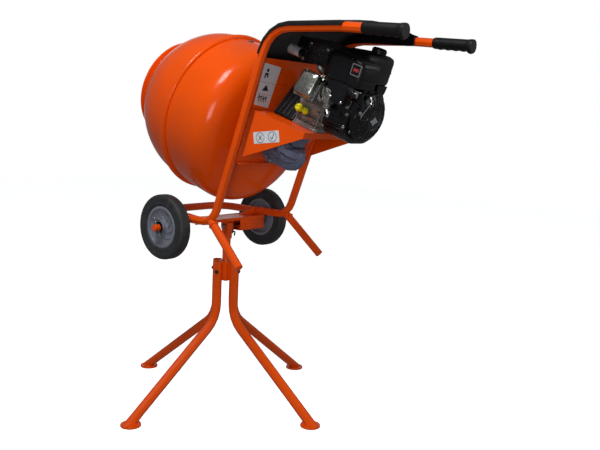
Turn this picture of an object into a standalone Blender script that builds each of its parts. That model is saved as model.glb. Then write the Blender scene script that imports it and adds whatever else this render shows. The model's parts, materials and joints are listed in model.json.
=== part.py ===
"""A tip-up concrete mixer with a petrol engine, standing on a four-legged stand.

Metres, +Z up. The drum's mouth faces -Y, the handles point to +Y and the wheel axles lie
along X. The origin is on the ground, in the middle of the overall length and width.
Parts are placed from the mixer frame, an empty on the ground under the middle of the stand.
Everything that follows the tilt of the drum is built in the drum frame: an empty at the
middle of the drum's ring whose X is the world's X, whose Y runs back along the drum's
axis and whose Z is square to both.
"""

import math

import bmesh
import bpy
from mathutils import Matrix, Vector

# Driving dimensions
GAP = 0.0003
LENGTH_MIDDLE = 0.2069
DRUM_TILT = math.radians(18.4)
DRUM_CENTRE = Vector((0.0, -0.044, 1.1655))

TUBE_RADIUS = 0.0159
TUBE_WALL = 0.002
SIDE_X = 0.2145
HANDLE_X = 0.218
FRAME_HEIGHT = 0.757
LOOP_FRONT = -0.258
GRIP_START = 0.7725

STAND_TUBE_RADIUS = 0.019
STAND_LEG_OFFSET = 0.0484
STAND_TOP = 0.568
STAND_KNEE = 0.333
STAND_FOOT_REACH = 0.474
STAND_TOE = 0.480
STAND_FOOT_RADIUS = 0.038
STAND_FOOT_HEIGHT = 0.007
STAND_BEND = 0.12
SOCKET_HALF = 0.0288
SOCKET_BOTTOM = 0.490

POST_RADIUS = 0.016
POST_BOTTOM = 0.494
PIVOT_HEIGHT = 0.712
BEAM_TOP = 0.745
BEAM_FRONT = -0.080
BEAM_REAR = 0.025
BEAM_HALF = 0.197
SHEET = 0.003

WHEEL_Y = -0.060
WHEEL_Z = 0.722
WHEEL_RADIUS = 0.125
WHEEL_WIDTH = 0.052
WHEEL_OUTER_X = 0.3036
HUB_RADIUS = 0.081
AXLE_RADIUS = 0.0125

DRUM_RADIUS = 0.306
DRUM_WALL = 0.003
RING_RADIUS = 0.319
RING_WIDTH = 0.025
MOUTH_RADIUS = 0.2048
MOUTH_DEPTH = 0.2694
BOWL_DEPTH = 0.270
SPINDLE_RADIUS = 0.012

BACK_PLATE = 0.3135
PLATE_TOP = 0.307
PLATE_BOTTOM = -0.0825
TRAY_TOP = 0.122
TRAY_REAR = 0.553
TRAY_REAR_HALF = 0.170
TRAY_HALF = 0.198

INPUT_HEIGHT = 0.088
LAYSHAFT_X = -0.0542
LAYSHAFT_HEIGHT = 0.0622
CRANK_HEIGHT = 0.220
ENGINE_MIDDLE = 0.494
SLOW_MODULE = 0.0025
FAST_MODULE = 0.002
DRUM_GEAR_TEETH = 54
LAYSHAFT_TEETH = 48
PINION_TEETH = 12
DRIVEN_PULLEY = 0.066
ENGINE_PULLEY = 0.016
BELT_THICKNESS = 0.007
BELT_START = 0.398
BELT_END = 0.410

QUARTER = math.pi / 2
ALONG_X = (0.0, QUARTER, 0.0)
ALONG_Y = (-QUARTER, 0.0, 0.0)
FACING_Y = (QUARTER, 0.0, 0.0)
FACING_X = (QUARTER, 0.0, QUARTER)


# Scene, collections and materials

def clear_scene():
    for obj in list(bpy.data.objects):
        bpy.data.objects.remove(obj, do_unlink=True)


def collection(name):
    group = bpy.data.collections.new(name)
    bpy.context.scene.collection.children.link(group)
    return group


clear_scene()
MIXER = collection("concrete_mixer")
CUTTERS = collection("cutters")
MIXER_FRAME = bpy.data.objects.new("mixer_frame", None)
MIXER_FRAME.location = (0.0, -LENGTH_MIDDLE, 0.0)
MIXER.objects.link(MIXER_FRAME)


def finish(name, colour, roughness, metallic=0.0):
    """A Principled material of one colour."""
    result = bpy.data.materials.new(name)
    result.use_nodes = True
    shader = result.node_tree.nodes["Principled BSDF"]
    shader.inputs["Base Color"].default_value = (*colour, 1.0)
    shader.inputs["Roughness"].default_value = roughness
    shader.inputs["Metallic"].default_value = metallic
    return result


ORANGE = finish("orange_paint", (0.86, 0.12, 0.01), 0.3)
STEEL = finish("bare_steel", (0.45, 0.45, 0.44), 0.4, 1.0)
ZINC = finish("zinc_plate", (0.62, 0.63, 0.6), 0.3, 1.0)
CASTING = finish("gearbox_casting", (0.3, 0.33, 0.42), 0.55, 0.6)
ALUMINIUM = finish("engine_casting", (0.5, 0.5, 0.48), 0.5, 0.8)
BLACK_PLASTIC = finish("black_plastic", (0.015, 0.015, 0.018), 0.5)
BLACK_PAINT = finish("black_paint", (0.01, 0.01, 0.012), 0.25)
RUBBER = finish("rubber", (0.02, 0.02, 0.02), 0.8)
GREY_PLASTIC = finish("grey_plastic", (0.2, 0.21, 0.25), 0.5)
YELLOW_PLASTIC = finish("yellow_plastic", (0.85, 0.75, 0.02), 0.4)
RED_PLASTIC = finish("red_plastic", (0.6, 0.02, 0.02), 0.4)


# Modelling helpers

def frame_empty(name, location, rotation=(0.0, 0.0, 0.0), parent=None):
    empty = bpy.data.objects.new(name, None)
    empty.location = location
    empty.rotation_euler = rotation
    empty.parent = parent or MIXER_FRAME
    MIXER.objects.link(empty)
    return empty


def add(name, data, material, location=(0.0, 0.0, 0.0), rotation=(0.0, 0.0, 0.0), parent=None):
    """A new object in the mixer's collection, or a cutter when it has no material."""
    obj = bpy.data.objects.new(name, data)
    obj.location = location
    obj.rotation_euler = rotation
    obj.parent = parent or MIXER_FRAME
    if material is None:
        CUTTERS.objects.link(obj)
        obj.hide_render = True
        obj.display_type = "WIRE"
    else:
        MIXER.objects.link(obj)
        data.materials.append(material)
    return obj


def from_bmesh(name, shape):
    data = bpy.data.meshes.new(name)
    shape.to_mesh(data)
    shape.free()
    return data


def bevel(obj, width, segments=2):
    modifier = obj.modifiers.new("Bevel", "BEVEL")
    modifier.width = width
    modifier.segments = segments
    modifier.limit_method = "ANGLE"
    modifier.angle_limit = math.radians(40.0)
    modifier.use_clamp_overlap = True
    return obj


def block(name, low, high, material, parent=None, round_edges=0.0):
    """A box between two opposite corners, in its parent's axes."""
    low = Vector(low)
    high = Vector(high)
    shape = bmesh.new()
    bmesh.ops.create_cube(shape, size=1.0)
    bmesh.ops.scale(shape, vec=high - low, verts=shape.verts)
    obj = add(name, from_bmesh(name, shape), material, (low + high) / 2, parent=parent)
    if round_edges:
        bevel(obj, round_edges)
    return obj


def rod(name, radius, start, end, material, parent=None, sides=24):
    """A solid round bar between two points, in its parent's axes."""
    start = Vector(start)
    end = Vector(end)
    shape = bmesh.new()
    bmesh.ops.create_cone(
        shape, cap_ends=True, segments=sides, radius1=radius, radius2=radius,
        depth=(end - start).length)
    rotation = (end - start).to_track_quat("Z", "Y").to_euler()
    return add(name, from_bmesh(name, shape), material, (start + end) / 2, rotation, parent)


def turned(name, profile, material, location=(0.0, 0.0, 0.0), rotation=(0.0, 0.0, 0.0),
           parent=None, steps=32, ring=True):
    """A profile of (radius, height) turned about Z: its outer side runs from high to low.

    A ring's profile closes on itself, any other begins and ends on the axis.
    """
    data = bpy.data.meshes.new(name)
    points = [(radius, 0.0, height) for radius, height in profile]
    edges = [(index, index + 1) for index in range(len(points) - 1)]
    if ring:
        edges.append((len(points) - 1, 0))
    data.from_pydata(points, edges, [])
    obj = add(name, data, material, location, rotation, parent)
    modifier = obj.modifiers.new("Screw", "SCREW")
    modifier.axis = "Z"
    modifier.angle = 2 * math.pi
    modifier.steps = steps
    modifier.render_steps = steps
    modifier.use_merge_vertices = True
    modifier.merge_threshold = 0.00001
    return obj


def shell_profile(outer, wall):
    """A closed profile round an outer line of (radius, height), offset inwards by the wall."""
    inner = []
    for index, point in enumerate(outer):
        before = Vector(outer[max(index - 1, 0)])
        after = Vector(outer[min(index + 1, len(outer) - 1)])
        along = (after - before).normalized()
        inner.append((point[0] + along.y * wall, point[1] - along.x * wall))
    return outer + inner[::-1]


def arc(centre, radius, start, end, count):
    """Points on an arc in a plane, from one angle to another in degrees."""
    angles = [math.radians(start + (end - start) * step / count) for step in range(count + 1)]
    return [(centre[0] + radius * math.cos(a), centre[1] + radius * math.sin(a)) for a in angles]


def circle(centre, radius, count):
    return arc(centre, radius, 0.0, 360.0, count)[:-1]


def rounded_box(low, high, radius, count=4):
    """The outline of a rectangle with round corners."""
    left, bottom = low[0] + radius, low[1] + radius
    right, top = high[0] - radius, high[1] - radius
    return (arc((right, bottom), radius, -90, 0, count) + arc((right, top), radius, 0, 90, count)
            + arc((left, top), radius, 90, 180, count) + arc((left, bottom), radius, 180, 270, count))


def wrap(discs, count=40):
    """The outline of a band stretched round discs given as (x, y, radius)."""
    points = sorted(point for x, y, radius in discs for point in circle((x, y), radius, count))

    def half(ordered):
        chain = []
        for point in ordered:
            while len(chain) > 1 and turn(chain[-2], chain[-1], point) <= 0.0:
                chain.pop()
            chain.append(point)
        return chain[:-1]

    return half(points) + half(points[::-1])


def turn(a, b, c):
    return (b[0] - a[0]) * (c[1] - a[1]) - (b[1] - a[1]) * (c[0] - a[0])


def cut_out(name, outlines, thickness, material, location=(0.0, 0.0, 0.0),
            rotation=(0.0, 0.0, 0.0), parent=None):
    """A flat piece cut to an outline in its own XY plane; further outlines are holes."""
    data = bpy.data.curves.new(name, "CURVE")
    data.dimensions = "2D"
    data.fill_mode = "BOTH"
    data.extrude = thickness / 2
    for outline in outlines:
        spline = data.splines.new("POLY")
        spline.points.add(len(outline) - 1)
        for point, place in zip(spline.points, outline):
            point.co = (place[0], place[1], 0.0, 1.0)
        spline.use_cyclic_u = True
    return add(name, data, material, location, rotation, parent)


def bent_path(corners, radii, arc_steps=4):
    """A bent tube's centre line: straight runs joined by arcs at the inner corners."""
    path = [Vector(corners[0])]
    for before, corner, after, radius in zip(corners, corners[1:], corners[2:], radii):
        corner = Vector(corner)
        back = (Vector(before) - corner).normalized()
        ahead = (Vector(after) - corner).normalized()
        half_angle = back.angle(ahead) / 2
        reach = radius / math.tan(half_angle)
        centre = corner + (back + ahead).normalized() * (radius / math.sin(half_angle))
        first = (corner + back * reach - centre).normalized()
        last = (corner + ahead * reach - centre).normalized()
        for step in range(arc_steps + 1):
            path.append(centre + first.slerp(last, step / arc_steps) * radius)
    path.append(Vector(corners[-1]))
    return path


def tube(name, path, radius, material, wall=0.0, detail=2, parent=None):
    """A round tube along a path, open at its ends when it has a wall and solid otherwise."""
    data = bpy.data.curves.new(name, "CURVE")
    data.dimensions = "3D"
    data.bevel_depth = radius
    data.bevel_resolution = detail
    data.use_fill_caps = not wall
    spline = data.splines.new("POLY")
    spline.points.add(len(path) - 1)
    for point, place in zip(spline.points, path):
        point.co = (*place, 1.0)
    obj = add(name, data, material, parent=parent)
    if wall:
        modifier = obj.modifiers.new("Wall", "SOLIDIFY")
        modifier.thickness = wall
        modifier.offset = -1.0
    return obj


def to_mesh(obj):
    """Turns a curve object into a mesh object, so that it can be cut and joined."""
    bpy.context.view_layer.update()
    evaluated = obj.evaluated_get(bpy.context.evaluated_depsgraph_get())
    data = bpy.data.meshes.new_from_object(evaluated)
    shape = bmesh.new()
    shape.from_mesh(data)
    bmesh.ops.remove_doubles(shape, verts=shape.verts, dist=0.00001)
    shape.to_mesh(data)
    shape.free()
    name = obj.name
    group = obj.users_collection[0]
    hidden = obj.hide_render
    obj.name = name + "_curve"
    result = bpy.data.objects.new(name, data)
    group.objects.link(result)
    result.parent = obj.parent
    result.matrix_world = obj.matrix_world
    result.hide_render = hidden
    result.display_type = obj.display_type
    bpy.data.objects.remove(obj, do_unlink=True)
    return result


def combine(target, tool, operation):
    modifier = target.modifiers.new(operation.title(), "BOOLEAN")
    modifier.operation = operation
    modifier.object = tool
    return target


def cut(target, *tools):
    for tool in tools:
        combine(target, tool, "DIFFERENCE")
    return target


def join(target, *tools):
    for tool in tools:
        combine(target, tool, "UNION")
    return target


def at_joint(obj, joint):
    """Moves an object's origin onto the empty that marks its joint, leaving its shape in place."""
    bpy.context.view_layer.update()
    world = obj.matrix_world.copy()
    obj.parent = joint
    obj.matrix_parent_inverse = joint.matrix_world.inverted()
    obj.matrix_world = world
    return obj


# Stand

STAND_SIDES = {
    "front": Vector((0.0, -1.0, 0.0)),
    "rear": Vector((0.0, 1.0, 0.0)),
    "right": Vector((-1.0, 0.0, 0.0)),
    "left": Vector((1.0, 0.0, 0.0)),
}


def build_stand():
    """Four bent legs round a square socket, each on a pressed round foot."""
    up = Vector((0.0, 0.0, 1.0))
    floor = block("leg_trim", (-0.7, -0.7, -0.2), (0.7, 0.7, STAND_FOOT_HEIGHT + GAP), None)
    for side, outward in STAND_SIDES.items():
        top = outward * STAND_LEG_OFFSET + up * STAND_TOP
        knee = outward * STAND_LEG_OFFSET + up * STAND_KNEE
        toe = outward * STAND_TOE + up * STAND_FOOT_HEIGHT
        path = bent_path([top, knee, knee + (toe - knee) * 1.09], [STAND_BEND])
        leg = to_mesh(tube(f"stand_leg_{side}", path, STAND_TUBE_RADIUS, ORANGE, TUBE_WALL))
        cut(leg, floor)
        foot = [
            (0.0, STAND_FOOT_HEIGHT), (0.034, STAND_FOOT_HEIGHT),
            (STAND_FOOT_RADIUS, STAND_FOOT_HEIGHT - 0.003), (STAND_FOOT_RADIUS, 0.0), (0.0, 0.0),
        ]
        turned(f"stand_foot_{side}", foot, ORANGE, outward * STAND_FOOT_REACH, steps=24, ring=False)
    outline = rounded_box((-SOCKET_HALF, -SOCKET_HALF), (SOCKET_HALF, SOCKET_HALF), 0.004, 2)
    bore = circle((0.0, 0.0), POST_RADIUS + 0.0006, 24)
    middle = (SOCKET_BOTTOM + STAND_TOP) / 2
    cut_out("stand_socket", [outline, bore], STAND_TOP - SOCKET_BOTTOM, ORANGE, (0.0, 0.0, middle))


# Swivel post, tilting beam and latch

def build_post():
    """The post turns in the stand's socket and its flat head carries the tilting pin."""
    swivel = frame_empty("swivel_joint", (0.0, 0.0, POST_BOTTOM))
    post = rod("swivel_post", POST_RADIUS, (0.0, 0.0, POST_BOTTOM), (0.0, 0.0, 0.685), ORANGE)
    head_width = 0.0140
    head_outline = wrap([(0.0, PIVOT_HEIGHT, 0.0165), (-0.0115, 0.662, 0.003), (0.0115, 0.662, 0.003)], 24)
    head = to_mesh(cut_out("post_head", [head_outline], 2 * head_width, None, rotation=FACING_X))
    pin_hole = rod("pin_hole", 0.0064, (-0.03, 0.0, PIVOT_HEIGHT), (0.03, 0.0, PIVOT_HEIGHT), None)
    join(post, head)
    cut(post, pin_hole)
    at_joint(post, swivel)


def build_tilt_beam():
    """A folded channel across the frame with two lugs that hang from it on the tilting pin."""
    top = BEAM_TOP
    lip = 0.012
    channel = [
        (BEAM_FRONT, top - lip), (BEAM_FRONT, top), (BEAM_REAR, top), (BEAM_REAR, top - lip),
        (BEAM_REAR - SHEET, top - lip), (BEAM_REAR - SHEET, top - SHEET),
        (BEAM_FRONT + SHEET, top - SHEET), (BEAM_FRONT + SHEET, top - lip),
    ]
    beam = to_mesh(cut_out("tilt_beam", [channel], 2 * BEAM_HALF, ORANGE, rotation=FACING_X))
    shoulder = top - 0.003
    lug = wrap([(0.0, PIVOT_HEIGHT - 0.002, 0.018), (-0.016, shoulder, 0.001), (0.016, shoulder, 0.001)], 24)
    gusset = [(0.088, top - 0.002), (BEAM_HALF, top - 0.002), (BEAM_HALF, 0.772), (BEAM_HALF - 0.014, 0.772)]
    for side in (1, -1):
        plate = cut_out(f"lug_plate_{side}", [lug], SHEET, None, (side * 0.0162, 0.0, 0.0), FACING_X)
        web = cut_out(f"gusset_plate_{side}", [[(side * x, z) for x, z in gusset]], SHEET, None,
                      (0.0, -0.030, 0.0), FACING_Y)
        join(beam, to_mesh(plate), to_mesh(web))
    cut(beam, rod("lug_hole", 0.0054, (-0.03, 0.0, PIVOT_HEIGHT), (0.03, 0.0, PIVOT_HEIGHT), None))
    pin = [
        (0.0, 0.0235), (0.0085, 0.0235), (0.0085, 0.0185), (0.0050, 0.0185), (0.0050, -0.0215),
        (0.0, -0.0215),
    ]
    turned("tilt_pin", pin, ZINC, (0.0, 0.0, PIVOT_HEIGHT), ALONG_X, steps=20, ring=False)


LATCH_X = -0.034
LATCH_Z = 0.714


def build_latch():
    """A channel under the tilting beam holds the pin of the latch lever beside the post."""
    top = BEAM_TOP - SHEET - GAP
    bottom = 0.690
    back = -0.030
    lip = BEAM_REAR - SHEET - 0.001
    section = [
        (back, bottom), (back, top), (lip, top), (lip, top - SHEET), (back + SHEET, top - SHEET),
        (back + SHEET, bottom + SHEET), (lip - SHEET, bottom + SHEET), (lip - SHEET, bottom + 0.015),
        (lip, bottom + 0.015), (lip, bottom),
    ]
    cut_out("latch_bracket", [section], 0.145, ORANGE, (-0.1225, 0.0, 0.0), FACING_X)
    hinge = frame_empty("latch_joint", (LATCH_X, 0.0, LATCH_Z))
    arm = wrap([(0.0, LATCH_Z, 0.007), (-0.004, 0.680, 0.004)], 16)
    lever = to_mesh(cut_out("latch_lever", [arm], 0.004, BLACK_PAINT, (LATCH_X, 0.0, 0.0), FACING_X))
    pin = rod("latch_lever_pin", 0.004, (-0.070, 0.0, LATCH_Z), (LATCH_X, 0.0, LATCH_Z), None, sides=16)
    join(lever, pin)
    at_joint(lever, hinge)


# Frame tubes

SIDES = {"left": 1, "right": -1}


JOINT_Y = -0.015


def side_tube_path(sign):
    """From the end of a handle, over the engine, down behind the drum and forward to the axle."""
    corners = [
        (sign * HANDLE_X, 0.9155, 1.42455),
        (sign * HANDLE_X, 0.680, 1.4460),
        (sign * (HANDLE_X - 0.001), 0.388, 1.4555),
        (sign * SIDE_X, 0.137, FRAME_HEIGHT),
        (sign * SIDE_X, JOINT_Y, FRAME_HEIGHT),
    ]
    return bent_path(corners, [0.30, 0.114, 0.075])


def build_frame():
    """Two side tubes that run from the grips to the axles, a front loop and two rear legs."""
    for side, sign in SIDES.items():
        path = side_tube_path(sign)
        tube(f"side_tube_{side}", path, TUBE_RADIUS, ORANGE, TUBE_WALL)
        saddle = to_mesh(tube(f"leg_saddle_{side}", path, TUBE_RADIUS + GAP, None))
        foot = Vector((sign * 0.235, 0.298, 0.6125))
        start = Vector((sign * SIDE_X, 0.127, 0.763))
        leg = to_mesh(tube(f"rear_leg_{side}", [start, foot], TUBE_RADIUS, ORANGE, TUBE_WALL))
        cut(leg, saddle)
    corners = [
        (SIDE_X, JOINT_Y - GAP, FRAME_HEIGHT), (SIDE_X, LOOP_FRONT, FRAME_HEIGHT),
        (-SIDE_X, LOOP_FRONT, FRAME_HEIGHT), (-SIDE_X, JOINT_Y - GAP, FRAME_HEIGHT),
    ]
    tube("front_loop", bent_path(corners, [0.075, 0.075]), TUBE_RADIUS, ORANGE, TUBE_WALL)


def build_grips():
    """Rubber sleeves pushed over the ends of the handles."""
    for side, sign in SIDES.items():
        profile = [
            (0.0, 0.152), (0.0215, 0.152), (0.0228, 0.145), (0.0205, 0.136), (0.0200, 0.006),
            (0.0180, 0.0), (TUBE_RADIUS + 0.0008, 0.0), (TUBE_RADIUS + 0.0008, 0.146), (0.0, 0.146),
        ]
        start = Vector((sign * HANDLE_X, GRIP_START, 1.4460 - (GRIP_START - 0.680) * 0.0911))
        slope = math.atan2(1.4460 - 1.4225, 0.938 - 0.680)
        rotation = (-QUARTER - slope, 0.0, 0.0)
        turned(f"grip_{side}", profile, RUBBER, start, rotation, steps=24, ring=False)


# Wheels

def build_wheels():
    """A stub axle on each side of the frame, with a moulded hub and a solid tyre."""
    inner = WHEEL_OUTER_X - WHEEL_WIDTH
    for side, sign in SIDES.items():
        axle = rod(f"wheel_axle_{side}", AXLE_RADIUS, (sign * 0.190, WHEEL_Y, WHEEL_Z),
                   (sign * 0.330, WHEEL_Y, WHEEL_Z), ORANGE)
        saddle_low = (min(sign * 0.200, sign * 0.234), WHEEL_Y - 0.025, WHEEL_Z + 0.002)
        saddle_high = (max(sign * 0.200, sign * 0.234), WHEEL_Y + 0.025,
                       FRAME_HEIGHT - TUBE_RADIUS - GAP)
        join(axle, block(f"axle_saddle_{side}", saddle_low, saddle_high, None))
        spin = frame_empty(f"wheel_joint_{side}", (sign * WHEEL_OUTER_X, WHEEL_Y, WHEEL_Z))
        middle = Vector((sign * (WHEEL_OUTER_X - WHEEL_WIDTH / 2), WHEEL_Y, WHEEL_Z))
        half = WHEEL_WIDTH / 2
        tyre = [
            (0.108, half - 0.002), (0.119, half - 0.007), (WHEEL_RADIUS, half - 0.017),
            (WHEEL_RADIUS, -half + 0.017), (0.119, -half + 0.007), (0.108, -half + 0.002),
            (HUB_RADIUS + GAP, -half + 0.004), (HUB_RADIUS + GAP, half - 0.004),
        ]
        at_joint(turned(f"tyre_{side}", tyre, RUBBER, middle, ALONG_X, steps=28), spin)
        bore = AXLE_RADIUS + 0.0005
        disc = 0.004 * sign
        hub = [
            (0.024, half + 0.002), (0.024, disc + 0.003), (0.070, disc + 0.003), (0.070, half - 0.006),
            (HUB_RADIUS, half - 0.006), (HUB_RADIUS, -half + 0.006), (0.070, -half + 0.006),
            (0.070, disc - 0.003), (0.024, disc - 0.003), (0.024, -half), (bore, -half),
            (bore, half + 0.002),
        ]
        at_joint(turned(f"wheel_hub_{side}", hub, GREY_PLASTIC, middle, ALONG_X, steps=28), spin)


# Drum

def bowl_line():
    """The bowl's outer line: a straight wall, a round knuckle and a shallow dished end."""
    wall = [(DRUM_RADIUS + 0.0015, 0.0055), (DRUM_RADIUS + 0.0015, 0.120)]
    knuckle = arc((DRUM_RADIUS - 0.0885, 0.150), 0.090, 0.0, 76.0, 4)
    end = [(0.115, 0.262), (0.040, BOWL_DEPTH)]
    return wall + knuckle + end


def cone_line():
    """The cone's outer line from the ring to the neck behind the mouth."""
    neck = MOUTH_RADIUS - 0.022
    points = []
    steps = 4
    length = MOUTH_DEPTH - 0.012
    for step in range(steps + 1):
        along = step / steps
        radius = DRUM_RADIUS - (DRUM_RADIUS - neck) * along ** 2.3
        points.append((radius, -length * along))
    return points


def build_drum(frame):
    """The bowl and the cone meet in a rolled ring; blades are bolted inside."""
    spin = frame_empty("drum_joint", (0.0, 0.0, 0.0), parent=frame)
    bowl = shell_profile(bowl_line()[::-1], DRUM_WALL)
    turned("drum_bowl", bowl, ORANGE, rotation=ALONG_Y, parent=spin, steps=36)
    outer = cone_line()
    neck, mouth = outer[-1]
    lip = [(MOUTH_RADIUS, mouth - 0.009), (MOUTH_RADIUS, mouth - 0.012)]
    inside = [(neck - DRUM_WALL, mouth - 0.003)]
    inside += [(radius - DRUM_WALL, height) for radius, height in outer[::-1][1:]]
    turned("drum_cone", outer + lip + inside, ORANGE, rotation=ALONG_Y, parent=spin, steps=32)
    rim = DRUM_RADIUS + 0.0015 + GAP
    ring = [
        (RING_RADIUS - 0.004, RING_WIDTH), (RING_RADIUS, RING_WIDTH - 0.006), (RING_RADIUS, 0.005),
        (RING_RADIUS - 0.004, 0.0), (DRUM_RADIUS - DRUM_WALL, GAP), (DRUM_RADIUS - DRUM_WALL, 0.004),
        (rim, 0.004), (rim, RING_WIDTH),
    ]
    turned("drum_ring", ring, ORANGE, rotation=ALONG_Y, parent=spin, steps=36)
    build_blades(spin)
    spindle = [
        (0.0, 0.432), (SPINDLE_RADIUS - 0.002, 0.432), (SPINDLE_RADIUS, 0.430), (SPINDLE_RADIUS, 0.305),
        (0.022, 0.300), (0.022, 0.280), (0.036, 0.278), (0.036, BOWL_DEPTH - 0.006),
        (0.0, BOWL_DEPTH - 0.006),
    ]
    turned("drum_spindle", spindle, STEEL, rotation=ALONG_Y, parent=spin, steps=24, ring=False)
    gear("drum_gear", DRUM_GEAR_TEETH, SLOW_MODULE, SPINDLE_RADIUS + GAP, 0.325, 0.341, spin)


def build_blades(spin):
    """Two bent blades inside the drum, on opposite sides, each on its own two feet."""
    for index, sign in enumerate((1, -1), start=1):
        path = [
            Vector((sign * 0.3015, 0.060, 0.0)), Vector((sign * 0.215, 0.045, sign * 0.050)),
            Vector((sign * 0.195, -0.075, sign * 0.085)), Vector((sign * 0.2540, -0.130, sign * 0.0635)),
        ]
        blade = bpy.data.meshes.new(f"mixing_blade_{index}")
        shape = bmesh.new()
        rows = []
        for along, place in enumerate(path):
            inward = Vector((place.x, 0.0, place.z)).normalized() * -1
            width = 0.022 if along in (0, 3) else 0.030
            across = Vector((0.0, 1.0, 0.0)) * width
            if along in (1, 2):
                across = (inward + Vector((0.0, 0.2, 0.0))).normalized() * width
            rows.append([shape.verts.new(place - across), shape.verts.new(place + across)])
        for first, second in zip(rows, rows[1:]):
            shape.faces.new((first[0], first[1], second[1], second[0]))
        shape.to_mesh(blade)
        shape.free()
        obj = add(f"mixing_blade_{index}", blade, ORANGE, parent=spin)
        solid = obj.modifiers.new("Plate", "SOLIDIFY")
        solid.thickness = 0.005
        solid.offset = 0.0


# Gears, pulleys and belt

def gear_outline(teeth, module, phase):
    """Straight-flanked teeth with some backlash; the phase is in radians."""
    pitch = teeth * module / 2
    heights = [(-1.15, 1.08), (0.85, 0.32), (0.85, -0.32), (-1.15, -1.08)]
    points = []
    for tooth in range(teeth):
        middle = phase + 2 * math.pi * tooth / teeth
        for height, half in heights:
            radius = pitch + height * module
            angle = middle - half * module / radius
            points.append((radius * math.cos(angle), radius * math.sin(angle)))
    return points


def gear(name, teeth, module, bore, start, end, parent, centre=(0.0, 0.0), phase=0.0, material=STEEL):
    """A spur gear in the drum frame, between two depths."""
    outlines = [gear_outline(teeth, module, phase)]
    if bore:
        outlines.append(circle((0.0, 0.0), bore, 20))
    location = (centre[0], (start + end) / 2, centre[1])
    return cut_out(name, outlines, end - start, material, location, FACING_Y, parent)


def mesh_phase(teeth, other_teeth, direction, other_phase=0.0):
    """The phase that puts a gap of one gear on the tooth of another across their centres."""
    pitch = 2 * math.pi / teeth
    driven = (direction - other_phase) / (2 * math.pi / other_teeth)
    offset = driven - math.floor(driven)
    return direction + math.pi + pitch * (offset + 0.5)


def build_gear_train(frame):
    """A layshaft and an input shaft between the drum's gear and the driven pulley."""
    toward_lay = math.atan2(LAYSHAFT_HEIGHT, LAYSHAFT_X)
    lay_phase = mesh_phase(PINION_TEETH, DRUM_GEAR_TEETH, toward_lay)
    layshaft = frame_empty("layshaft_joint", (LAYSHAFT_X, 0.330, LAYSHAFT_HEIGHT), parent=frame)
    centre = (LAYSHAFT_X, LAYSHAFT_HEIGHT)
    pinion = gear("layshaft", PINION_TEETH, SLOW_MODULE, 0.0, 0.325, 0.345, frame, centre, lay_phase)
    pinion = to_mesh(pinion)
    wheel = to_mesh(gear("layshaft_wheel", LAYSHAFT_TEETH, FAST_MODULE, 0.0, 0.3449, 0.361, frame, centre,
                         0.0, None))
    ends = [(LAYSHAFT_X, 0.3185, LAYSHAFT_HEIGHT), (LAYSHAFT_X, 0.374, LAYSHAFT_HEIGHT)]
    join(pinion, wheel, rod("layshaft_ends", 0.007, *ends, None, frame, 16))
    at_joint(pinion, layshaft)

    toward_input = math.atan2(INPUT_HEIGHT - LAYSHAFT_HEIGHT, -LAYSHAFT_X)
    input_phase = mesh_phase(PINION_TEETH, LAYSHAFT_TEETH, toward_input)
    input_joint = frame_empty("input_joint", (0.0, 0.330, INPUT_HEIGHT), parent=frame)
    shaft = to_mesh(gear("input_shaft", PINION_TEETH, FAST_MODULE, 0.0, 0.347, 0.363, frame,
                         (0.0, INPUT_HEIGHT), input_phase))
    ends = [(0.0, 0.3185, INPUT_HEIGHT), (0.0, 0.4165, INPUT_HEIGHT)]
    join(shaft, rod("input_bar", 0.0075, *ends, None, frame, 20))
    at_joint(shaft, input_joint)
    pulley = turned("driven_pulley", pulley_profile(DRIVEN_PULLEY, 0.0075 + GAP), CASTING,
                    (0.0, 0.0, INPUT_HEIGHT), ALONG_Y, frame, 28)
    at_joint(pulley, input_joint)


def pulley_profile(groove, bore):
    """A grooved pulley whose belt runs between the belt's two depths."""
    flange = groove + BELT_THICKNESS + 0.0005
    return [
        (flange, BELT_END + 0.004), (flange, BELT_END + 0.0015), (groove, BELT_END + 0.0005),
        (groove, BELT_START - 0.0005), (flange, BELT_START - 0.0015), (flange, BELT_START - 0.004),
        (bore, BELT_START - 0.004), (bore, BELT_END + 0.004),
    ]


def build_belt(frame):
    """The belt round both pulleys, one closed loop."""
    def loop(offset):
        small = (0.0, CRANK_HEIGHT, ENGINE_PULLEY + offset)
        large = (0.0, INPUT_HEIGHT, DRIVEN_PULLEY + offset)
        return wrap([small, large], 32)

    middle = (BELT_START + BELT_END) / 2
    outlines = [loop(BELT_THICKNESS), loop(0.0010)]
    cut_out("drive_belt", outlines, BELT_END - BELT_START, RUBBER, (0.0, middle, 0.0), FACING_Y, frame)


def build_belt_guard(frame):
    """A cover over the belt that is open below, where the belt goes through the tray."""
    bottom = TRAY_TOP + GAP
    foot = bottom + 0.006
    outer = wrap([(0.0, CRANK_HEIGHT, 0.046), (0.106, foot, 0.006), (-0.106, foot, 0.006)], 32)
    inner = wrap([(0.0, CRANK_HEIGHT, 0.043), (0.100, 0.110, 0.006), (-0.100, 0.110, 0.006)], 32)
    depth = 0.086
    place = (0.0, 0.392, 0.0)
    guard = to_mesh(cut_out("belt_guard", [outer], depth, BLACK_PLASTIC, place, FACING_Y, frame))
    hollow = to_mesh(cut_out("guard_hollow", [inner], depth - 0.006, None, place, FACING_Y, frame))
    ends = [(0.0, 0.42, CRANK_HEIGHT), (0.0, 0.45, CRANK_HEIGHT)]
    shaft_hole = rod("guard_shaft_hole", 0.0135, *ends, None, frame)
    cut(guard, hollow, shaft_hole)


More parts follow.
